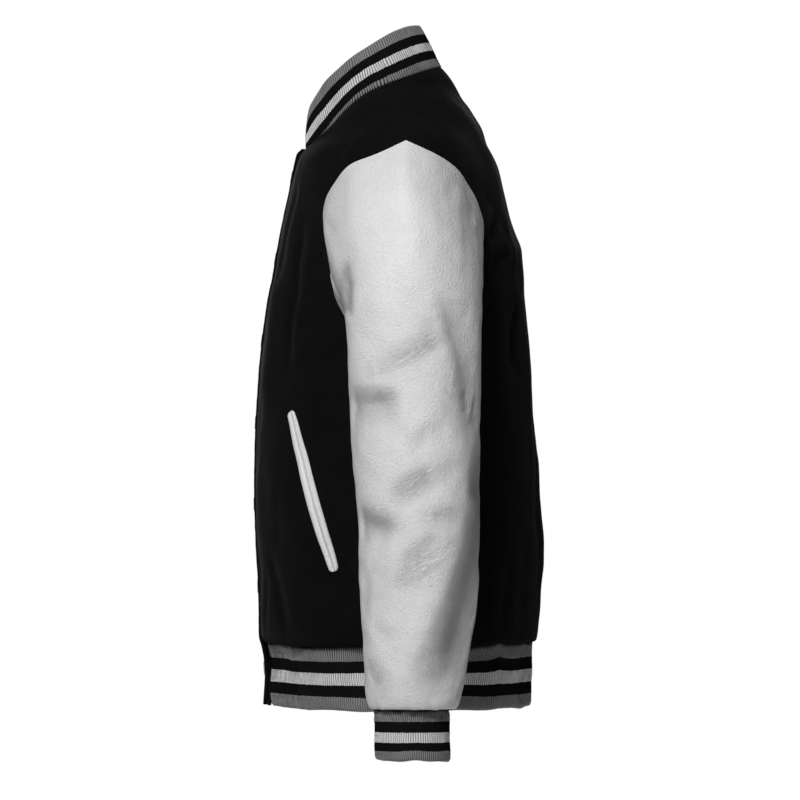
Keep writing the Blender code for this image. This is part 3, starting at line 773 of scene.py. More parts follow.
def cap_points(turn, station, way):
    """The sleeve cap: curves that leave the armhole outwards and end hanging."""
    seam, _ = body_surface(*armhole_place(turn), way)
    seam = seam * mirror_for(way)
    middle = np.column_stack((seam[:, 0], np.tile(ARMHOLE_MIDDLE, (len(seam), 1))))
    start = seam + unit(middle - seam) * SEAM_GAP * 1.5
    end = sleeve_section(sleeve_form, turn, CAP_FOOT_Z)
    length = np.linalg.norm(end - start, axis=1)[:, None]
    top_share = (1 + np.cos(turn * math.tau)) / 2
    leave = np.column_stack((np.full(len(turn), 0.80), 0 * turn, -0.30 - 0.40 * top_share))
    leave, arrive = unit(leave) * length, np.array((0.0, 0.0, -1.0)) * length
    leave, arrive = 2 * CAP_SPREAD * leave, 2 * CAP_SPREAD * arrive
    return eased(station[:, None, None], start, leave, end, arrive)


# %% [markdown]
# The sleeve's creases, from the shoulder down. The deep tuck in front of the armhole is where
# the sleeve folds in as an arm hangs; the long trough behind it comes from the same pull. Below
# the elbow the creases run diagonally, up towards the rear.

# %% The sleeves' folds
SLEEVE_FOLDS = (
    ("side", ((3, -72), (6, -150), (7, -262)), (34, 13), -2.6),
    ("side", ((12, -66), (15, -112)), (3.4, 3.4), 1.2),
    ("side", ((22, -70), (25, -108)), (3, 3), 1.0),
    ("side", ((44, -84), (46, -112)), (4, 4), 1.0),
    ("side", ((-80, -146), (-70, -170)), (6, 6), 3.4),
    ("side", ((80, -128), (76, -152)), (6, 6), 3.0),
    ("side", ((64, -100), (50, -130)), (8, 9), 2.2),
    ("side", ((-60, -190), (-55, -212), (-54, -262)), (5.6, 16), 12.0, (0.3, 0.5)),
    ("side", ((44, -222), (56, -262), (66, -302), (73, -352), (77, -400)), (26, 10), 9.0),
    ("side", ((60, -288), (57, -318), (53, -350)), (3, 3), -1.6),
    ("side", ((66, -332), (70, -348), (74, -358)), (5, 5), 2.4),
    ("side", ((30, -250), (40, -300)), (12, 12), 2.4),
    ("side", ((-58, -346), (-30, -351), (2, -342)), (12, 26), 11.0),
    ("side", ((-34, -307), (-24, -318)), (5, 5), -1.2),
    ("side", ((-26, -322), (-14, -312)), (4, 4), 1.2),
    ("side", ((-14, -450), (12, -434), (38, -418)), (10, 20), 4.6),
    ("side", ((-12, -452), (24, -430), (56, -406)), (2.6, 3.2), 0.4),
    ("side", ((4, -400), (30, -384), (52, -366)), (12, 14), 2.6),
    ("side", ((-48, -468), (-26, -480), (-4, -488)), (12, 22), 10.0),
    ("side", ((30, -472), (50, -464), (70, -464)), (3.4, 5), 0.8),
    ("side", ((0, -520), (22, -508), (46, -490)), (11, 13), 4.2),
    ("side", ((-36, -520), (-12, -536)), (10, 12), 2.0),
    ("side", ((-14, -546), (22, -520), (60, -496)), (2.8, 3.2), 0.45),
    ("side", ((-6, -552), (30, -528), (64, -506)), (2.6, 3.2), 0.35),
    ("side", ((-46, -506), (-35, -540), (-38, -584)), (7, 12), 4.0),
    ("side", ((68, -440), (64, -500), (46, -548), (22, -600), (-4, -650)), (9, 24), -3.2),
    ("side", ((92, -380), (88, -450), (80, -515), (66, -578), (44, -668)), (34, 20), 24.0, (0.2, 0.3)),
    ("side", ((-36, -622), (-30, -636), (-23, -652)), (5, 6), 3.2),
    ("side", ((-30, -586), (-6, -604)), (10, 12), 1.6),
    ("front", ((238, -345), (270, -356), (318, -350)), (20, 34), 3.6),
    ("front", ((250, -402), (284, -396)), (10, 12), 2.4),
    ("front", ((246, -474), (280, -484), (322, -472)), (14, 26), 3.4),
    ("front", ((262, -530), (300, -518)), (9, 11), 2.4),
    ("front", ((256, -604), (290, -596), (318, -606)), (10, 13), 2.6),
    ("back", ((232, -216), (248, -262), (256, -310)), (12, 13), 5.0),
    ("back", ((250, -352), (282, -372), (318, -362)), (15, 24), 3.6),
    ("back", ((244, -446), (286, -434), (322, -442)), (12, 22), 3.4),
    ("back", ((256, -524), (294, -508)), (10, 14), 3.2),
    ("back", ((262, -600), (300, -584)), (11, 12), 2.6),
    ("back", ((268, -640), (276, -668)), (5, 6), 1.6),
)
LEATHER_ENDS = (0.3, 0.3)
LEATHER_SWELL = ((64 * MM, 0.6 * MM, 11), (23 * MM, 0.22 * MM, 12))
CUFF_GATHERS = ((9, 0.7), (14, 1.9), (23, 0.4))
GATHER_SIZE = 0.45 * MM
GATHER_REACH = 14 * MM
# Ovals in side view where the leather has fine creases, bumped and with shade painted into them.
CREASED = (
    (14, -290, 28, 46, 13),
    (25, -519, 34, 44, 17),
    (22, -432, 33, 40, 12),
    (46, -466, 10, 24, 12),
    (-30, -336, -4, 26, 10),
    (60, -330, 75, 40, 16),
    (-20, -470, -20, 26, 14),
    (-26, -640, -60, 26, 12),
    (40, -620, 58, 44, 20),
)
# Soft ovals in side view where shade is painted into the tuck in front of the armhole.
PAINTED_TUCK_SHADE = ((-60, -222, 80, 30, 9), (-57, -206, 76, 15, 6.5))


def ovals(points, places):
    """1 inside soft ovals drawn in side view, each with its tilt and half sizes."""
    share = np.zeros(points.shape[:-1])
    for y, z, tilt, long, short in places:
        turn = math.radians(tilt)
        across, up = points[..., 1] - y * MM, points[..., 2] - z * MM
        along = (across * math.cos(turn) + up * math.sin(turn)) / (long * MM)
        aside = (up * math.cos(turn) - across * math.sin(turn)) / (short * MM)
        share = np.maximum(share, np.exp(-(along**2) - aside**2))
    return share


# %% Making the two sleeves
sleeve_turn = np.arange(SLEEVE_TURNS) / SLEEVE_TURNS
cap_station = shares(CAP_LENGTH, CAP_LENGTH / CAP_ROWS, end=False)[:-1]
tube_rows = round((CAP_FOOT_Z - SLEEVE_END_Z) / TUBE_STEP)
tube_z = np.linspace(CAP_FOOT_Z, SLEEVE_END_Z, tube_rows)
tube_z = np.concatenate((tube_z[:-1], (-671.5 * MM, -673.5 * MM, -674.3 * MM, SLEEVE_END_Z)))
tube_z = np.unique(tube_z)[::-1]
sleeve_pieces = {}
for side, way in SIDES:
    tube = sleeve_section(sleeve_form, sleeve_turn[None, :], tube_z[:, None])
    points = np.concatenate((cap_points(sleeve_turn, cap_station, way), tube))
    outwards = way_out(points, wrapped=True)
    flat_points, flat_outwards = points.reshape(-1, 3), outwards.reshape(-1, 3)
    press, pushed = 0.0, np.zeros(points.shape)
    for view, line, widths, depth, *ends in SLEEVE_FOLDS:
        places = carried(shifted(line, way), view, flat_points, flat_outwards)
        scale = 1.0 if way > 0 else OTHER_SIDE["depth"]
        ends = ends[0] if ends else LEATHER_ENDS
        deep = trough(points, outwards, places, widths, depth * scale, ends)
        towards = outwards @ TOWARDS[view]
        if view == "side":
            deep = deep * smooth((towards + 0.6) / 0.6)
        else:
            deep = deep * smooth(towards * 6) * (0.3 + 0.7 * smooth(np.abs(outwards[..., 0]) * 2))
        press = press + deep
        pushed = pushed - deep[..., None] * TOWARDS[view]
    steps = np.linalg.norm(np.diff(points, axis=0), axis=2)
    from_seam = np.concatenate((np.zeros((1, SLEEVE_TURNS)), np.cumsum(steps, axis=0)))
    from_cuff = from_seam[-1:] - from_seam
    swell = sum(h * waves(points, size, seed + way) for size, h, seed in LEATHER_SWELL)
    calm = smooth(from_seam / (24 * MM)) * smooth(from_cuff / (9 * MM))
    held = smooth(from_seam / (13 * MM)) * smooth(from_cuff / (9 * MM))
    gathers = sum(
        np.sin(sleeve_turn * math.tau * count + phase + way) for count, phase in CUFF_GATHERS
    )
    drawn = np.exp(-from_cuff / GATHER_REACH) * smooth(from_cuff / (3 * MM))
    moved = swell * calm + gathers * GATHER_SIZE * drawn
    points = points + outwards * moved[..., None] + pushed * held[..., None]
    sleeve_shell = Shell(LEATHER)
    mirror = mirror_for(way)
    sleeve_shell.add(
        points * mirror,
        way_out(points, wrapped=True) * mirror,
        sunk=rounding(from_seam, 1.8 * MM, 0.7 * MM),
        lifted=0.8 * MM * smooth(np.abs(press) / (4 * MM)),
        wrapped=True,
        flip=way < 0,
        edge=np.exp(-from_cuff / (5 * MM)),
        # rim: a highlight painted along the armhole seam
        rim=np.exp(-((from_seam / (1.3 * MM)) ** 2)),
        # creased: fine creases, bumped and with painted shade in them
        creased=ovals(points, CREASED),
        # the tuck in front of the armhole, where shade is painted into the colour
        tucked=ovals(points, PAINTED_TUCK_SHADE) * (outwards[..., 0] > 0),
        # pressed: how deep the folds press in, which darkens the colour as painted shade
        pressed=np.clip(press * held / (9 * MM), -1.0, 2.0),
    )
    sleeve_pieces[side] = sleeve_shell.build(f"sleeve_leather_{side}")

# %% [markdown]
# ## Rib knit
#
# Rib knit is rows of raised wales with valleys between. A bump map would do from far away, but
# the ribs show at the folded edges, so they are real geometry here: four columns of points to
# a rib. Places spread evenly along the strip first, so that every rib is as wide as the next.
# The strip carries marks for its material: how high a point is, which rib it is on, and how
# deep in a valley it lies, where shade is painted into its colour.

# %% Ribs
RIB_PITCH = 2.35 * MM
RIB_HEIGHT = 0.54 * MM
RIB_POINTS = 4
KNIT = 3.0 * MM
FOLDED = (2.4 * MM, 1.25 * MM)
SEWN = (2.4 * MM, 1.3 * MM)
# How far from a strip's sewn edge shade is painted into its colour
SEAM_SHADE = 1.4 * MM


def even_places(line_at, low, high, pitch=RIB_PITCH, ribs=None):
    """Parameters from low to high that lie evenly along a line, a few to each rib."""
    fine = np.linspace(low, high, 3000)
    along = distances(line_at(fine))
    ribs = ribs or round(along[-1] / pitch)
    return np.interp(np.linspace(0.0, along[-1], ribs * RIB_POINTS + 1), along, fine), ribs


def ribbed(points, outwards, ribs, up, seed, drift=1.1):
    """Raises the ribs. up is 0 at the strip's lower edge and 1 at its upper edge."""
    rib = np.linspace(0.0, ribs, points.shape[1])[None, :] + 0 * up
    wander = drift * waves(points, 70 * MM, seed) + 0.22 * waves(points, 19 * MM, seed + 2)
    height = RIB_HEIGHT * (1 + 0.22 * waves(points, 7 * MM, seed + 1))
    wave = np.cos(math.tau * (rib + wander))
    return points + outwards * (wave * height)[..., None], {
        "up": up,
        "rib": rib + wander,
        "valley": (1 - wave) / 2,
    }


HEM_RIB_ROWS = np.array(
    (-679.0, -678.4, -677.4, -676.0, -674, -670, -664, -657, -650, -643, -636, -629, -622)
    + (-617, -614.4, -612.6, -611.2)
)
hem_rib_z = HEM_RIB_ROWS * MM
RIB_UNDER = 2.2 * MM
HEM_RIPPLE = ((46 * MM, 0.9 * MM, 31), (17 * MM, 0.3 * MM, 32))
RIB_FOLDS = (
    (((-123, -612), (-122, -645), (-123, -678)), (1.6, 7), -1.5),
    (((-115, -612), (-116, -645), (-115, -678)), (5, 3), 1.3),
    (((-40, -612), (-46, -660)), (9, 7), 1.6),
    (((52, -612), (50, -650)), (7, 9), 1.4),
    (((108, -612), (110, -650)), (6, 7), 1.8),
    (((134, -612), (130, -668)), (7, 6), 1.4),
)
middle_z = float(np.median(hem_rib_z))
hem_bearing, hem_ribs = even_places(
    lambda b: body_point(b, middle_z), float(front_edge_bearing(middle_z, RIB_UNDER)), 90.0
)
hem_shell = Shell(KNIT)
for way in (1, -1):
    mirror = mirror_for(way)
    shape = (len(hem_rib_z), len(hem_bearing))
    start = front_edge_bearing(hem_rib_z, RIB_UNDER)[:, None]
    spread = (hem_bearing - hem_bearing[0]) / (90.0 - hem_bearing[0])
    bearing = start + (90.0 - start) * spread
    z = np.broadcast_to(hem_rib_z[:, None], shape)
    points, outwards = body_point(bearing, z), body_outwards(bearing, z)
    outwards[:, -1, 0] = 0.0
    press = 0.0
    for line, widths, depth in RIB_FOLDS:
        places = carried(shifted(line, way), "side", form_points, form_outwards)
        press = press + trough(points, outwards, places, widths, depth, (0.1, 0.1))
    across = np.abs(points[..., 0])
    calm = smooth((across - 16 * MM) / (14 * MM))
    ripple = sum(h * waves(points * mirror, size, seed) for size, h, seed in HEM_RIPPLE)
    points = points + outwards * ((ripple - press) * calm - 0.5 * RIB_HEIGHT)[..., None]
    up = (z - hem_rib_z[0]) / (hem_rib_z[-1] - hem_rib_z[0])
    points[..., 2] += hem_rise(points[..., 1], HEM_Z) * smooth(up * 1.5 - 0.4)
    side_share = 1 - np.abs(points[..., 1] / (150 * MM)) ** 1.6
    low = 0.7 * MM * waves(points * mirror, 60 * MM, 33) - 2.4 * MM * side_share
    points[..., 2] += low * (1 - up)
    points, marks = ribbed(points, outwards, hem_ribs, up, 34 + way)
    below, above = z - hem_rib_z[0], hem_rib_z[-1] - z
    beside = across - across[:, :1]
    folded = rounding(below, *FOLDED) + 0.3 * rounding(beside, *FOLDED)
    hem_shell.add(
        points * mirror,
        outwards * mirror,
        sunk=folded + rounding(above, *SEWN),
        lifted=folded,
        flip=way < 0,
        sewn=np.exp(-above / SEAM_SHADE),
        **marks,
    )
hem_piece = hem_shell.build("hem_ribbing")
print("ribs round half the hem:", hem_ribs)

# %% The collar, which stands on the neckline and leans in
collar_top = Table(
    ("share", "x", "y", "z"),
    (
        (0.00, 0.0, 21.6, 69.0),
        (0.10, 24.0, 18.5, 68.8),
        (0.19, 42.0, 11.0, 67.4),
        (0.30, 60.0, -4.0, 61.8),
        (0.43, 73.0, -25.0, 50.2),
        (0.51, 76.0, -38.0, 42.3),
        (0.58, 75.5, -50.0, 34.4),
        (0.64, 72.5, -60.0, 26.8),
        (0.71, 66.0, -71.0, 17.0),
        (0.80, 54.0, -84.0, 4.0),
        (0.89, 38.0, -94.5, -12.0),
        (0.96, 25.0, -100.0, -24.0),
        (1.00, 18.3, -102.0, -32.0),
    ),
    ("x", "y", "z"),
)
COLLAR_TUCK = 0.7 * MM
COLLAR_SEAM = (1.6 * MM, 0.4 * MM)
COLLAR_TAPER = 0.22
COLLAR_BOW = 1.3 * MM
COLLAR_LENGTH = 56 * MM
COLLAR_PITCH = 2.9 * MM


def collar_foot(share):
    """Where the collar meets the neckline."""
    seam = neckline.read(share)
    return body_point(seam["bearing"], seam["z"])


def collar_edge(share):
    """The collar's free top edge."""
    return np.stack(list(collar_top.read(share).values()), -1)


collar_share, collar_ribs = even_places(lambda s: collar_edge(1 - s), 0.0, 1.0, COLLAR_PITCH)
foot_share, _ = even_places(lambda s: collar_foot(1 - s), 0.0, 1.0, ribs=collar_ribs)
collar_share, foot_share = 1 - collar_share, 1 - (0.6 * foot_share + 0.4 * collar_share)
collar_up = shares(COLLAR_LENGTH, 3.6 * MM)
collar_shell = Shell(KNIT)
for way in (1, -1):
    mirror = mirror_for(way)
    foot, edge = collar_foot(foot_share), collar_edge(collar_share)
    foot = foot - unit(edge - foot) * COLLAR_TUCK
    up = np.broadcast_to(collar_up[:, None], (len(collar_up), len(collar_share)))
    points = foot + (edge - foot) * up[..., None]
    outwards = way_out(points)
    outwards[:, -1, 0] = 0.0
    outwards = unit(outwards)
    bow = COLLAR_BOW * np.sin(math.pi * up) + RIB_HEIGHT * (2.4 * np.exp(-up * 9) - 0.5)
    points = points + outwards * bow[..., None]
    ends = smooth(points[..., 0] / (26 * MM))
    ripple = 0.8 * MM * waves(points * mirror, 42 * MM, 41) * ends * smooth(up * 3)
    points = points + outwards * ripple[..., None]
    points, marks = ribbed(points, outwards, collar_ribs, up, 44 + way, drift=0.2)
    steps = np.linalg.norm(edge - foot, axis=1)
    beside = np.abs(points[..., 0] - points[:, :1, 0])
    folded = rounding(np.minimum((1 - up) * steps, beside + 0.2 * MM), *FOLDED)
    taper = COLLAR_TAPER * np.clip(collar_share - 0.25, 0, 0.55)
    taper = taper + 0.9 * np.maximum(collar_share - 0.8, 0)
    marks["up"] = 1 - (1 - up) * (1 - taper)
    collar_shell.add(
        points * mirror,
        outwards * mirror,
        sunk=folded + rounding(up * steps, *COLLAR_SEAM),
        lifted=folded,
        flip=way < 0,
        sewn=np.exp(-up * steps / SEAM_SHADE),
        **marks,
    )
collar_piece = collar_shell.build("collar_ribbing")

# %% The two cuffs
cuff_form = Table(
    SLEEVE_COLUMNS,
    (
        (-731.2, 290.0, 30.5, -22.5, 49.5),
        (-729.5, 290.0, 33.0, -25.2, 52.5),
        (-726.0, 290.0, 34.0, -26.4, 53.7),
        (-700.0, 290.0, 33.6, -27.1, 53.0),
        (-675.6, 290.0, 33.2, -27.5, 52.2),
    ),
    SLEEVE_COLUMNS,
)
CUFF_ROWS = (-731.2, -730.6, -729.6, -728, -726, -721, -714, -707, -700, -693, -686, -681)
cuff_z = np.array((*CUFF_ROWS, -678, -676.6, -675.6)) * MM
CUFF_MIDDLE_Z = -700 * MM
cuff_turn, cuff_ribs = even_places(
    lambda t: sleeve_section(cuff_form, t, CUFF_MIDDLE_Z), 0.0, 1.0
)
cuff_pieces = {}
for side, way in SIDES:
    mirror = mirror_for(way)
    points = sleeve_section(cuff_form, cuff_turn[None, :-1], cuff_z[:, None])
    around = np.roll(points, 1, axis=1) - np.roll(points, -1, axis=1)
    outwards = unit(np.cross(around, np.gradient(points, axis=0)))
    z = np.broadcast_to(cuff_z[:, None], points.shape[:2])
    up = (z - cuff_z[0]) / (cuff_z[-1] - cuff_z[0])
    ripple = 0.7 * MM * waves(points * mirror, 30 * MM, 51) - 0.5 * RIB_HEIGHT
    drawn = np.exp((z - cuff_z[-1]) / (14 * MM))
    ripple = ripple + 1.7 * MM * drawn * waves(points * mirror, 9 * MM, 53)
    points = points + outwards * ripple[..., None]
    points[..., 2] += 0.8 * MM * waves(points * mirror, 34 * MM, 52) * smooth(1 - up * 2)
    rib = np.linspace(0.0, cuff_ribs, points.shape[1], endpoint=False)[None, :] + 0 * up
    rib = rib + 1.0 * waves(points * mirror, 58 * MM, 54)
    wave = np.cos(math.tau * rib)
    points = points + outwards * (wave * RIB_HEIGHT)[..., None]
    folded = rounding(z - cuff_z[0], *FOLDED)
    cuff_shell = Shell(KNIT)
    cuff_shell.add(
        points * mirror,
        outwards * mirror,
        sunk=folded + rounding(cuff_z[-1] - z, *SEWN),
        lifted=folded,
        wrapped=True,
        flip=way > 0,
        sewn=np.exp(-(cuff_z[-1] - z) / SEAM_SHADE),
        up=up,
        rib=rib,
        valley=(1 - wave) / 2,
    )
    cuff_pieces[side] = cuff_shell.build(f"cuff_ribbing_{side}")

# %% [markdown]
# ## Front bands, pocket welts and snaps
#
# The front bands are folded strips of the same wool, stitched along both edges, and the left one
# laps over the right. The pockets open between two narrow leather welts. The snaps are turned
# caps. All of them follow the curve of the front, so they are made on it and not set on a plane.

# %% The front bands
band_form = Table(
    ("z", "y"),
    (
        (-677.6, -150.4),
        (-665.0, -149.6),
        (-646.0, -148.6),
        (-626.0, -149.8),
        (-610.0, -153.2),
        (-603.0, -155.1),
        (-578.0, -155.4),
        (-541.0, -156.2),
        (-516.0, -158.0),
        (-438.0, -160.4),
        (-387.0, -159.5),
        (-315.0, -155.5),
        (-273.0, -151.3),
        (-233.0, -145.6),
        (-209.0, -140.6),
        (-162.0, -132.4),
        (-110.0, -121.3),
        (-79.0, -115.2),
        (-72.0, -113.0),
        (-68.4, -108.8),
    ),
    ("z", "y"),
)
BAND = 4.3 * MM
BAND_LAP = 0.2 * MM
BAND_DROP = 1.0 * MM
BAND_ENDS = (-677.6 * MM, -67.4 * MM)
STITCH_INSET = 3.2 * MM


def band_points(x, z, depth):
    """Points of a front band and their outward directions, depth below its outer line."""
    step = 1 * MM
    x, z = np.broadcast_arrays(x, z)
    slope = (band_form.read(z + step)["y"] - band_form.read(z - step)["y"]) / (2 * step)
    outwards = unit(np.stack((0 * z, 0 * z - 1, slope), -1))
    return np.stack((x, band_form.read(z)["y"], z), -1) - outwards * depth, outwards


def build_band(name, centre_x, depth, drop, seed):
    """A front band, rounded at its folded edges and drawn in a little along its stitching."""
    length = BAND_ENDS[1] - BAND_ENDS[0]
    z = (BAND_ENDS[0] + length * shares(length, 3.6 * MM))[:, None]
    across = (2 * shares(2 * BAND_HALF_WIDTH, 1.9 * MM) - 1)[None, :]
    x = centre_x + BAND_HALF_WIDTH * across
    points, outwards = band_points(x, z - drop, depth)
    to_edge = BAND_HALF_WIDTH * (1 - np.abs(across)) + 0 * z
    to_end = np.minimum(z - BAND_ENDS[0], BAND_ENDS[1] - z) + 0 * x
    near = np.minimum(to_edge, to_end)
    groove = 0.3 * MM * np.exp(-(((near - STITCH_INSET) / (1.0 * MM)) ** 2))
    ripple = 0.22 * MM * waves(points, 13 * MM, seed) * smooth(near / (3 * MM))
    folded = rounding(near, 1.2 * MM, 0.7 * MM)
    shell = Shell(BAND)
    edge = np.exp(-near / (2 * MM))
    shell.add(points, outwards, sunk=folded + groove - ripple, edge=edge)
    return shell.build(name)


band_left = build_band("front_band_left", BAND_SHIFT, 0.0, 0.0, 61)
band_right = build_band("front_band_right", -BAND_SHIFT, BAND + BAND_LAP, BAND_DROP, 62)

# %% Stitches, each a short twist of thread sunk in its line
STITCH_RINGS = ((-0.5, 0.25), (-0.32, 0.95), (0.0, 1.0), (0.32, 0.95), (0.5, 0.25))
STITCH_SIDES = 5


def build_stitches(name, lines, pitch, thickness):
    """One object of stitches along lines of points with outward directions."""
    points, faces = [], []
    for line, outwards in lines:
        along = distances(line)
        count = int(along[-1] / pitch)
        at = (np.arange(count) + 0.5) * along[-1] / count
        middle, out = places_along(at, along, line), unit(places_along(at, along, outwards))
        ahead, behind = (places_along(at + step, along, line) for step in (MM / 2, -MM / 2))
        run = unit(ahead - behind)
        aside = unit(np.cross(run, out))
        for i in range(count):
            first = len(points)
            for place, size in STITCH_RINGS:
                centre = middle[i] + run[i] * place * pitch * 0.78
                for j in range(STITCH_SIDES):
                    angle = math.tau * j / STITCH_SIDES
                    spoke = math.cos(angle) * aside[i] + math.sin(angle) * out[i]
                    points.append(centre + spoke * size * thickness / 2)
            for r in range(len(STITCH_RINGS) - 1):
                for j in range(STITCH_SIDES):
                    k = (j + 1) % STITCH_SIDES
                    a, b = first + r * STITCH_SIDES, first + (r + 1) * STITCH_SIDES
                    faces.append((a + j, a + k, b + k, b + j))
            last = first + (len(STITCH_RINGS) - 1) * STITCH_SIDES
            faces.append(tuple(first + j for j in range(STITCH_SIDES))[::-1])
            faces.append(tuple(last + j for j in range(STITCH_SIDES)))
    data = bpy.data.meshes.new(name)
    data.from_pydata([tuple(p) for p in points], [], faces)
    data.shade_smooth()
    mesh = bmesh.new()
    mesh.from_mesh(data)
    bmesh.ops.recalc_face_normals(mesh, faces=mesh.faces)
    mesh.to_mesh(data)
    mesh.free()
    print(f"{name}: {len(points) // (STITCH_SIDES * len(STITCH_RINGS))} stitches")
    return new_piece(data)


stitch_z = np.linspace(BAND_ENDS[0] + 3 * MM, BAND_ENDS[1] - 3 * MM, 300)
band_lines = [
    band_points(BAND_SHIFT + s * (BAND_HALF_WIDTH - STITCH_INSET), stitch_z, 0.22 * MM)
    for s in (-1, 1)
]
band_stitches = build_stitches("front_band_stitches", band_lines, 3.0 * MM, 0.55 * MM)

# %% The pocket welts
pocket_line = Table(
    ("share", "y", "z"),
    (
        (0.00, -117.5, -356.0),
        (0.35, -104.5, -412.0),
        (0.70, -86.5, -476.0),
        (1.00, -71.0, -528.5),
    ),
    ("y", "z"),
)
WELT_WIDTH = 8.0 * MM
WELT_HEIGHT = 3.4 * MM
WELT_SPACING = 8.8 * MM
WELT_END_SIZE = 0.62
WELT_CLEARANCE = 0.45 * MM
WELT_STATIONS = 70
WELT_ARC = 16
WELT_SHARP = 50
POCKET_LENGTH = 183 * MM


def pocket_frame(share, way):
    """Points, directions along the slit and outward directions of the front at the pocket."""

    def at(s):
        place = pocket_line.read(np.clip(s, 0.0, 1.0))
        bearing = body_bearing(place["y"], place["z"])
        return body_surface(bearing, place["z"], way)

    points, outwards = at(share)
    along = unit(at(share + 0.01)[0] - at(share - 0.01)[0])
    outwards = unit(outwards - along * np.sum(outwards * along, axis=-1, keepdims=True))
    return points, along, outwards


def solid_piece(mesh, name, sharp):
    """The object of an edited mesh, where edges over this many degrees stay sharp."""
    bmesh.ops.recalc_face_normals(mesh, faces=mesh.faces)
    data = bpy.data.meshes.new(name)
    mesh.to_mesh(data)
    mesh.free()
    data.shade_smooth()
    data.set_sharp_from_angle(angle=math.radians(sharp))
    return new_piece(data)


def build_welt(name, way, side):
    """One rounded welt beside the slit; side is -1 for the front one and 1 for the rear one."""
    share = np.linspace(0.0, 1.0, WELT_STATIONS)
    foot, along, outwards = pocket_frame(share, way)
    across = np.cross(along, outwards)
    across *= side * np.where(across[:, 1:2] > 0, 1.0, -1.0)
    size = WELT_END_SIZE + (1.0 - WELT_END_SIZE) * np.sin(math.pi * share) ** 0.6
    end = np.minimum(share, 1 - share) * POCKET_LENGTH
    size = size * (1 - 0.35 * np.clip(1 - end / (1.6 * MM), 0, 1) ** 2)
    lumps = 1 + 0.05 * waves(foot, 9 * MM, 71 + side)
    middle = foot + (size * WELT_SPACING / 2)[:, None] * across
    middle = middle + outwards * WELT_CLEARANCE
    rings = []
    for j in range(WELT_ARC + 1):
        angle = math.pi * j / WELT_ARC
        wide = size * WELT_WIDTH / 2 * math.cos(angle)
        high = size * WELT_HEIGHT * math.sin(angle) ** 0.8 * lumps
        rings.append(middle + wide[:, None] * across + high[:, None] * outwards)
    grid = np.stack(rings, 1)
    index = np.arange(grid.shape[0] * grid.shape[1]).reshape(grid.shape[:2])
    right = np.roll(index, -1, axis=1)
    quads = np.stack((index[:-1], right[:-1], right[1:], index[1:]), -1).reshape(-1, 4).tolist()
    faces = [*quads, index[0].tolist(), index[-1].tolist()]
    mesh = bmesh.new()
    verts = [mesh.verts.new(p) for p in grid.reshape(-1, 3)]
    for face in faces:
        mesh.faces.new([verts[i] for i in face])
    piece = solid_piece(mesh, name, WELT_SHARP)
    inset = (size * (WELT_SPACING / 2 + WELT_WIDTH * 0.34))[:, None] * across
    lift = (WELT_CLEARANCE + size * WELT_HEIGHT * 0.74)[:, None] * outwards
    return piece, (foot + inset + lift, outwards)


welt_pieces, welt_lines = {}, {}
for side, way in SIDES:
    for place, lean in (("front", -1), ("rear", 1)):
        made = build_welt(f"welt_{place}_{side}", way, lean)
        welt_pieces[f"pocket_welt_{place}_{side}"], line = made
        welt_lines.setdefault(side, []).append(line)
welt_stitches = {
    side: build_stitches(f"welt_stitches_{side}", lines, 2.6 * MM, 0.5 * MM)
    for side, lines in welt_lines.items()
}

# %% The snaps: a low turned cap, dished inside its rim
SNAP_PROFILE = (
    (0.0, 0.30),
    (2.6, 0.30),
    (3.9, 0.26),
    (4.7, 0.18),
    (5.3, 0.36),
    (6.1, 0.50),
    (6.9, 0.44),
    (7.4, 0.20),
    (7.5, 0.0),
)
SNAP_SIDES = 48
SNAP_SHARP = 40
SNAP_COUNT = 7
SNAP_Z = (-98.0 * MM, -638.0 * MM)
SNAP_SEAT = 9.0 * MM
snap_pieces = []
for number, z in enumerate(np.linspace(*SNAP_Z, SNAP_COUNT)):
    ends, _ = band_points(0.0, np.array((z - SNAP_SEAT, z + SNAP_SEAT)), 0.0)
    foot, up = ends.mean(0), unit(ends[1] - ends[0])
    right = np.array((1.0, 0.0, 0.0))
    outwards = np.cross(right, up)
    foot = foot + outwards * SEAM_GAP
    mesh = bmesh.new()
    rings = []
    for radius, height in SNAP_PROFILE[1:]:
        ring = []
        for j in range(SNAP_SIDES):
            angle = math.tau * j / SNAP_SIDES
            spoke = math.cos(angle) * right + math.sin(angle) * up
            ring.append(mesh.verts.new(foot + spoke * radius * MM + outwards * height * MM))
        rings.append(ring)
    mesh.faces.new(rings[0])
    mesh.faces.new(rings[-1])
    for inner, outer in zip(rings, rings[1:], strict=False):
        for j in range(SNAP_SIDES):
            k = (j + 1) % SNAP_SIDES
            mesh.faces.new((inner[j], inner[k], outer[k], outer[j]))
    snap_pieces.append(solid_piece(mesh, f"snap_{number + 1}", SNAP_SHARP))
print("snaps:", len(snap_pieces))

# %% [markdown]
# ## Finishes
#
# Shader maths reads best as sums, so one small class wraps a socket and lets Python's operators
# add the Math nodes. Anything else comes from one method that adds a node, sets its settings
# and then fills its sockets with numbers or links.

# %% Shader expressions


class Wire:
    """One output of a material's nodes, with the arithmetic of a number."""

    def __init__(self, tree, socket):
        self.tree, self.socket = tree, socket

    def maths(self, operation, *others, first=None):
        values = (self if first is None else first, *others)
        return add_node(self.tree, "ShaderNodeMath", {"operation": operation}, values)

    def __add__(self, other):
        return self.maths("ADD", other)

    def __sub__(self, other):
        return self.maths("SUBTRACT", other)

    def __rsub__(self, other):
        return self.maths("SUBTRACT", self, first=other)

    def __mul__(self, other):
        return self.maths("MULTIPLY", other)

    __radd__, __rmul__ = __add__, __mul__


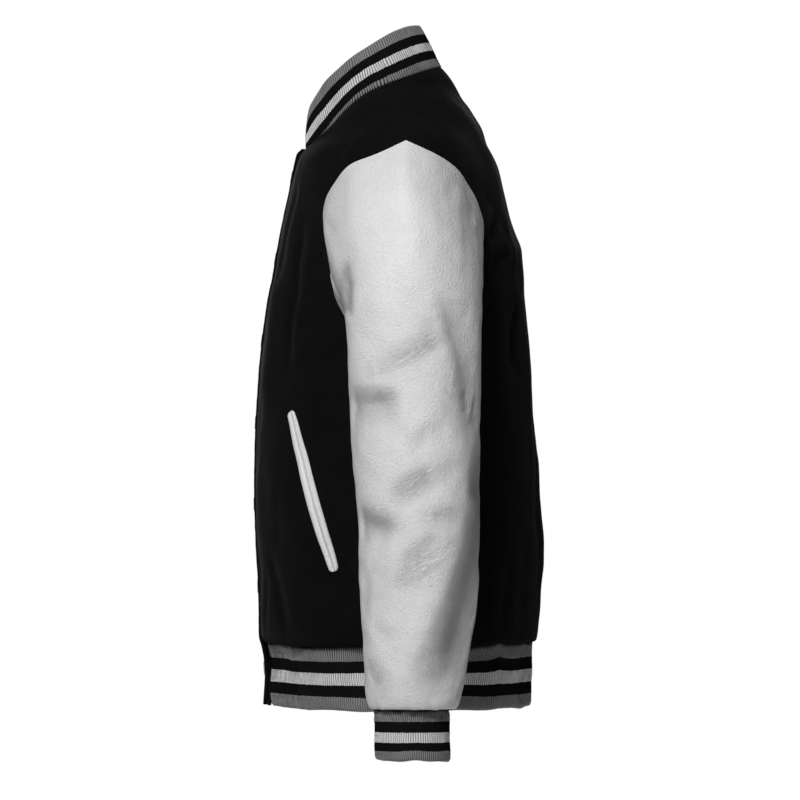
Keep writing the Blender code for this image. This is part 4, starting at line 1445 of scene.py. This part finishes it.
def add_node(tree, kind, settings=(), sockets=(), output=0):
    """Adds a node: its settings first, then its sockets, by number or name."""
    node = tree.nodes.new(kind)
    for name, value in dict(settings).items():
        if name == "stops":
            ramp = node.color_ramp.elements
            while len(ramp) < len(value):
                ramp.new(1.0)
            for stop, (place, colour) in zip(ramp, value, strict=True):
                stop.position, stop.color = place, (*colour, 1.0)
        elif name == "interpolation" and kind == "ShaderNodeValToRGB":
            node.color_ramp.interpolation = value
        else:
            setattr(node, name, value)
    named = sockets.items() if isinstance(sockets, dict) else enumerate(sockets)
    for name, value in named:
        if isinstance(value, Wire):
            tree.links.new(value.socket, node.inputs[name])
        elif value is not None:
            node.inputs[name].default_value = value
    return Wire(tree, node.outputs[output])


class Finish:
    """A material being written: its nodes, and the object's own coordinates in metres."""

    def __init__(self, name, **constants):
        self.material = bpy.data.materials.new(name)
        self.material.use_nodes = True
        self.tree = self.material.node_tree
        self.shader = self.tree.nodes["Principled BSDF"]
        for socket, value in constants.items():
            self.shader.inputs[socket.replace("_", " ")].default_value = value
        self.place = self.node("ShaderNodeTexCoord", output="Object")

    def node(self, kind, settings=(), sockets=(), output=0):
        return add_node(self.tree, kind, settings, sockets, output)

    def mark(self, name):
        """A value that the mesh carries at each point."""
        return self.node("ShaderNodeAttribute", {"attribute_name": name}, output="Fac")

    def noise(self, scale, detail=2.0, roughness=0.5, at=None):
        values = {"Vector": at or self.place, "Scale": scale}
        values |= {"Detail": detail, "Roughness": roughness}
        return self.node("ShaderNodeTexNoise", {}, values, "Fac")

    def cells(self, scale, feature, output="Distance"):
        values = {"Vector": self.place, "Scale": scale}
        return self.node("ShaderNodeTexVoronoi", {"feature": feature}, values, output)

    def stretched(self, sizes, turn=(0.0, 0.0, 0.0)):
        """The object's coordinates, turned and then scaled along each axis."""
        values = {"Vector": self.place, "Rotation": turn, "Scale": sizes}
        return self.node("ShaderNodeMapping", {"vector_type": "TEXTURE"}, values)

    def blend(self, share, first, second):
        """A colour between two colours."""
        values = {0: share, 6: first, 7: second}
        return self.node("ShaderNodeMix", {"data_type": "RGBA"}, values, 2)

    def bump(self, height, distance, strength=1.0, under=None):
        values = {"Height": height, "Distance": distance, "Strength": strength}
        return self.node("ShaderNodeBump", {}, values | ({"Normal": under} if under else {}))

    def feed(self, **links):
        for socket, wire in links.items():
            self.tree.links.new(wire.socket, self.shader.inputs[socket.replace("_", " ")])
        return self.material


# %% [markdown]
# Brushed wool: almost black, with a soft nap. The nap scatters light, so the cloth is rough and
# has a weak sheen, and short fibres lie in streaks over a fine twill.

# %% Black wool


def grey(value):
    """A neutral grey, as a colour with alpha."""
    return (value, value, value, 1.0)


def black_wool():
    wool = Finish("black wool", Sheen_Weight=0.015, Sheen_Roughness=0.5, Specular_IOR_Level=0.04)
    nap = wool.noise(1.0, 3.0, 0.6, wool.stretched((1.3 * MM, 1.3 * MM, 3.2 * MM)))
    fibres = wool.noise(1.0, 2.0, 0.6, wool.stretched((0.5 * MM, 0.5 * MM, 1.5 * MM), (0.5, 0.4, 0)))
    twill = wool.noise(1.0, 0.0, 0.5, wool.stretched((0.9 * MM, 0.9 * MM, 0.35 * MM), (0.8, 0.8, 0)))
    cloudy = wool.noise(26.0, 3.0, 0.55)
    worn = wool.mark("edge") * 0.35 + (cloudy - 0.5) * 0.9 + (nap - 0.5) * 0.8 + 0.35
    colour = wool.blend(worn, grey(0.0026), grey(0.0058))
    height = nap * 0.5 + fibres * 0.35 + twill * 0.25
    normal = wool.bump(height, 0.5 * MM, 0.55)
    return wool.feed(Base_Color=colour, Roughness=cloudy * 0.12 + 0.84, Normal=normal)


# %% [markdown]
# Leather: pebbles of different sizes with fine valleys between, finer creases where it folds,
# and a soft gloss that is duller in the valleys. Shade is painted into its colour in the pressed
# folds, in the fine creases and in the tuck in front of the armhole, a highlight is painted
# along the armhole seam, and the colour is a little darker towards the cuff.

# %% Pale leather


def pale_leather():
    hide = Finish("pale leather", Specular_IOR_Level=0.36)
    pebbles = hide.cells(560.0, "F1")
    large = hide.cells(300.0, "F1")
    pores = hide.noise(1300.0, 2.0, 0.65)
    mottle = hide.noise(34.0, 4.0, 0.55)
    drift = hide.noise(9.0, 2.0, 0.5)
    slant = hide.noise(1.0, 3.0, 0.6, hide.stretched((3 * MM, 15 * MM, 1.7 * MM), (0.55, 0, 0)))
    crease = 1 - ((slant - 0.5).maths("ABSOLUTE") * 10.0).maths("MINIMUM", 1.0)
    lines = crease * hide.mark("creased")
    pressed = hide.mark("pressed").maths("MAXIMUM", 0.0)
    # Painted shade in the pressed folds and in the fine creases, and a little darker near the cuff.
    painted_light_and_cuff_darkening = pressed * 0.28 + hide.mark("edge") * 0.16 + lines * 0.12
    # Painted shade in the tuck, and a painted highlight on the rim beside the armhole seam.
    painted_light_and_cuff_darkening = painted_light_and_cuff_darkening + hide.mark("tucked") * 0.5 - hide.mark("rim") * 0.45
    uneven = (mottle - 0.5) * 0.6 + (drift - 0.5) * 0.6 + (pores - 0.5) * 1.1
    uneven = uneven + (pebbles - 0.4) * 0.8
    colour = hide.blend(painted_light_and_cuff_darkening + uneven * 0.27 + 0.44, grey(0.97), grey(0.42))
    colour = hide.blend(hide.mark("inside"), colour, grey(0.02))
    grain = (1 - pebbles) * 0.6 + (1 - large) * 0.45 + pores * 0.35
    normal = hide.bump(grain, 0.85 * MM, 0.9)
    normal = hide.bump(1 - lines, 0.8 * MM, 0.9, normal)
    normal = hide.bump(mottle, 0.9 * MM, 0.35, normal)
    rough = pebbles * 0.16 + (mottle - 0.5) * 0.14 + 0.46
    return hide.feed(Base_Color=colour, Roughness=rough, Normal=normal)


# %% [markdown]
# Striped rib: five bands in the order grey, black, white, black, grey. Each row of the knit is
# one colour, so a stripe's edge runs straight but steps slightly from rib to rib. The bands come
# from the strip's height mark through a ramp with hard steps. Shade is painted into the valleys
# between the ribs and along the sewn edge, on top of some random wear.

# %% Striped rib knit
BAND_TONES = {"grey": 0.31, "black": 0.0055, "white": 0.90}
BAND_ORDER = ("grey", "black", "white", "black", "grey")


def rib_knit(name, edges, height):
    knit = Finish(name, Specular_IOR_Level=0.06)
    up, rib, valley = (knit.mark(mark) for mark in ("up", "rib", "valley"))
    whole = (rib + 0.5).maths("FLOOR")
    jump = knit.node("ShaderNodeTexWhiteNoise", {"noise_dimensions": "1D"}, {"W": whole}, "Value")
    tones = [grey(BAND_TONES[band])[:3] for band in BAND_ORDER]
    stops = list(zip((0.0, *edges), tones, strict=True))
    stepped = up + (jump - 0.5) * 0.007
    bands = knit.node(
        "ShaderNodeValToRGB", {"stops": stops, "interpolation": "CONSTANT"}, {"Fac": stepped}, "Color"
    )
    fuzz = knit.noise(1100.0, 2.0, 0.6)
    worn = (fuzz - 0.5) * 0.35 + (knit.noise(30.0, 2.0) - 0.5) * 0.3
    # Painted shade in the valleys between ribs and beside the sewn edge, plus random wear
    shade = valley * 0.85 + worn + knit.mark("sewn") * 0.8
    colour = knit.blend(shade, bands, grey(0.004))
    loop = (rib - whole).maths("ABSOLUTE")
    rows = (up * (math.tau * height / (1.5 * MM)) + loop * 5.0).maths("SINE")
    normal = knit.bump(rows * 0.5 + fuzz * 0.6, 0.32 * MM, 0.7)
    return knit.feed(Base_Color=colour, Roughness=fuzz * 0.15 + 0.78, Normal=normal)


# %% Snap metal and threads


def snap_metal():
    cap = Finish("blackened snap metal", Metallic=0.85, Specular_IOR_Level=0.5)
    wear = cap.noise(420.0, 3.0, 0.6)
    brushed = cap.noise(1.0, 2.0, 0.5, cap.stretched((0.3 * MM, 4 * MM, 4 * MM)))
    colour = cap.blend(wear * 0.8, grey(0.012), grey(0.045))
    normal = cap.bump(brushed, 0.05 * MM, 0.3)
    return cap.feed(Base_Color=colour, Roughness=wear * 0.2 + 0.28, Normal=normal)


def thread(name, low, high):
    twist = Finish(name, Specular_IOR_Level=0.3)
    strands = twist.noise(1.0, 1.0, 0.5, twist.stretched((0.5 * MM, 0.5 * MM, 0.3 * MM), (0.6, 0.6, 0)))
    colour = twist.blend(strands, grey(low), grey(high))
    normal = twist.bump(strands, 0.12 * MM, 0.6)
    return twist.feed(Base_Color=colour, Roughness=strands * 0.2 + 0.6, Normal=normal)


WOOL, LEATHER_FINISH, SNAP_FINISH = black_wool(), pale_leather(), snap_metal()
BLACK_THREAD = thread("black thread", 0.006, 0.02)
PALE_THREAD = thread("pale thread", 0.45, 0.66)
HEM_KNIT = rib_knit("hem rib knit", (0.219, 0.408, 0.603, 0.790), 68 * MM)
COLLAR_KNIT = rib_knit("collar rib knit", (0.20, 0.39, 0.57, 0.77), 56 * MM)
CUFF_KNIT = rib_knit("cuff rib knit", (0.206, 0.373, 0.569, 0.778), 56 * MM)
print("finishes:", len(bpy.data.materials))

# %% [markdown]
# ## Dressing the frame
#
# Each piece gets its finish, rides on the jacket's one body and stands for its solid.

# %% Finishes and bodies


def dress(piece, finish, slot, *nodes):
    """Finishes a piece and ties it to the frame."""
    piece.data.materials.append(finish)
    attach(piece, "root")
    if nodes:
        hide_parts(*nodes)


def cloth(piece, finish, slot, node):
    """Dresses a piece of cloth."""
    dress(piece, finish, slot, node)


cloth(back_piece, WOOL, "black_cloth", "back")
cloth(hem_piece, HEM_KNIT, "striped_rib_knit", "hem_rib")
cloth(
    collar_piece, COLLAR_KNIT, "striped_rib_knit", "collar"
)
cloth(band_left, WOOL, "black_cloth", "placket_left")
cloth(band_right, WOOL, "black_cloth", "placket_right")
for side in ("left", "right"):
    panel, sleeve, cuff = front_pieces[side], sleeve_pieces[side], cuff_pieces[side]
    cloth(
        panel, WOOL, "black_cloth", f"front_{side}"
    )
    cloth(
        sleeve, LEATHER_FINISH, "pale_leather", f"sleeve_{side}"
    )
    cloth(cuff, CUFF_KNIT, "striped_rib_knit", f"cuff_{side}")
    dress(welt_stitches[side], PALE_THREAD, "pale_leather")
for node, piece in welt_pieces.items():
    dress(piece, LEATHER_FINISH, "pale_leather", node)
for number, piece in enumerate(snap_pieces):
    dress(piece, SNAP_FINISH, "snap_metal", f"snap_cap_{number + 1}")
dress(band_stitches, BLACK_THREAD, "black_cloth")

# %% [markdown]
# ## The studio
#
# The key is a soft light, high on the camera's side and towards the front. A weak low light on
# the same side fills its shadows, and a third lights the far side. The world gives little light
# of its own, but it looks white, and the floor lies where a wearer would stand.

# %% Floor, world and lights
FLOOR_Z, FLOOR_SIZE = -1.42, 12
ROOM_LIGHT = 0.04
AIM = np.array((0.0, 0.0, -0.3432))
bpy.ops.mesh.primitive_plane_add(size=FLOOR_SIZE, location=(0, 0, FLOOR_Z))
floor = bpy.context.object
floor.name = "floor"
paper = Finish("studio floor", Roughness=0.9, Specular_IOR_Level=0.2)
tone = paper.blend(paper.noise(3.0, 2.0), grey(0.80), grey(0.84))
floor.data.materials.append(paper.feed(Base_Color=tone))

world = bpy.data.worlds.new("studio")
bpy.context.scene.world = world
world.use_nodes = True
room = world.node_tree
pale = room.nodes["Background"]
pale.inputs["Color"].default_value = (1.0, 1.0, 1.0, 1.0)
pale.inputs["Strength"].default_value = ROOM_LIGHT
seen = add_node(room, "ShaderNodeBackground", {}, {"Color": grey(1.0), "Strength": 1.0})
camera_ray = add_node(room, "ShaderNodeLightPath", output="Is Camera Ray")
shares_of_light = {0: camera_ray, 1: Wire(room, pale.outputs[0]), 2: seen}
both = add_node(room, "ShaderNodeMixShader", {}, shares_of_light)
room.links.new(both.socket, room.nodes["World Output"].inputs["Surface"])
bpy.context.scene.view_settings.view_transform = "Standard"

LIGHTS = (
    ("key", (3.0, -0.82, 2.3), 1.1, 136),
    ("fill", (4.5, -0.9, -0.7), 2.0, 12),
    ("far_side", (-3.6, -0.2, 0.4), 2.2, 75),
)
for name, place, size, power in LIGHTS:
    data = bpy.data.lights.new(name, "AREA")
    data.shape, data.size, data.energy = "DISK", size, power
    lamp = bpy.data.objects.new(name, data)
    bpy.context.scene.collection.objects.link(lamp)
    lamp.location = place
    aim = unit(np.array(place) - AIM)
    lamp.rotation_euler = Vector(aim).to_track_quat("Z", "Y").to_euler()
print("lights:", len(LIGHTS))

# %% The camera: level, far away, square to the wearer's left side
CAMERA_AWAY, LENS = 12.0, 490.9
data = bpy.data.cameras.new("camera")
data.sensor_width, data.lens = 36.0, LENS
data.clip_start, data.clip_end = 0.5, 80.0
camera = bpy.data.objects.new("camera", data)
bpy.context.scene.collection.objects.link(camera)
camera.location = (CAMERA_AWAY, 0.0, float(AIM[2]))
camera.rotation_euler = (math.radians(90), 0.0, math.radians(90))
bpy.context.scene.camera = camera
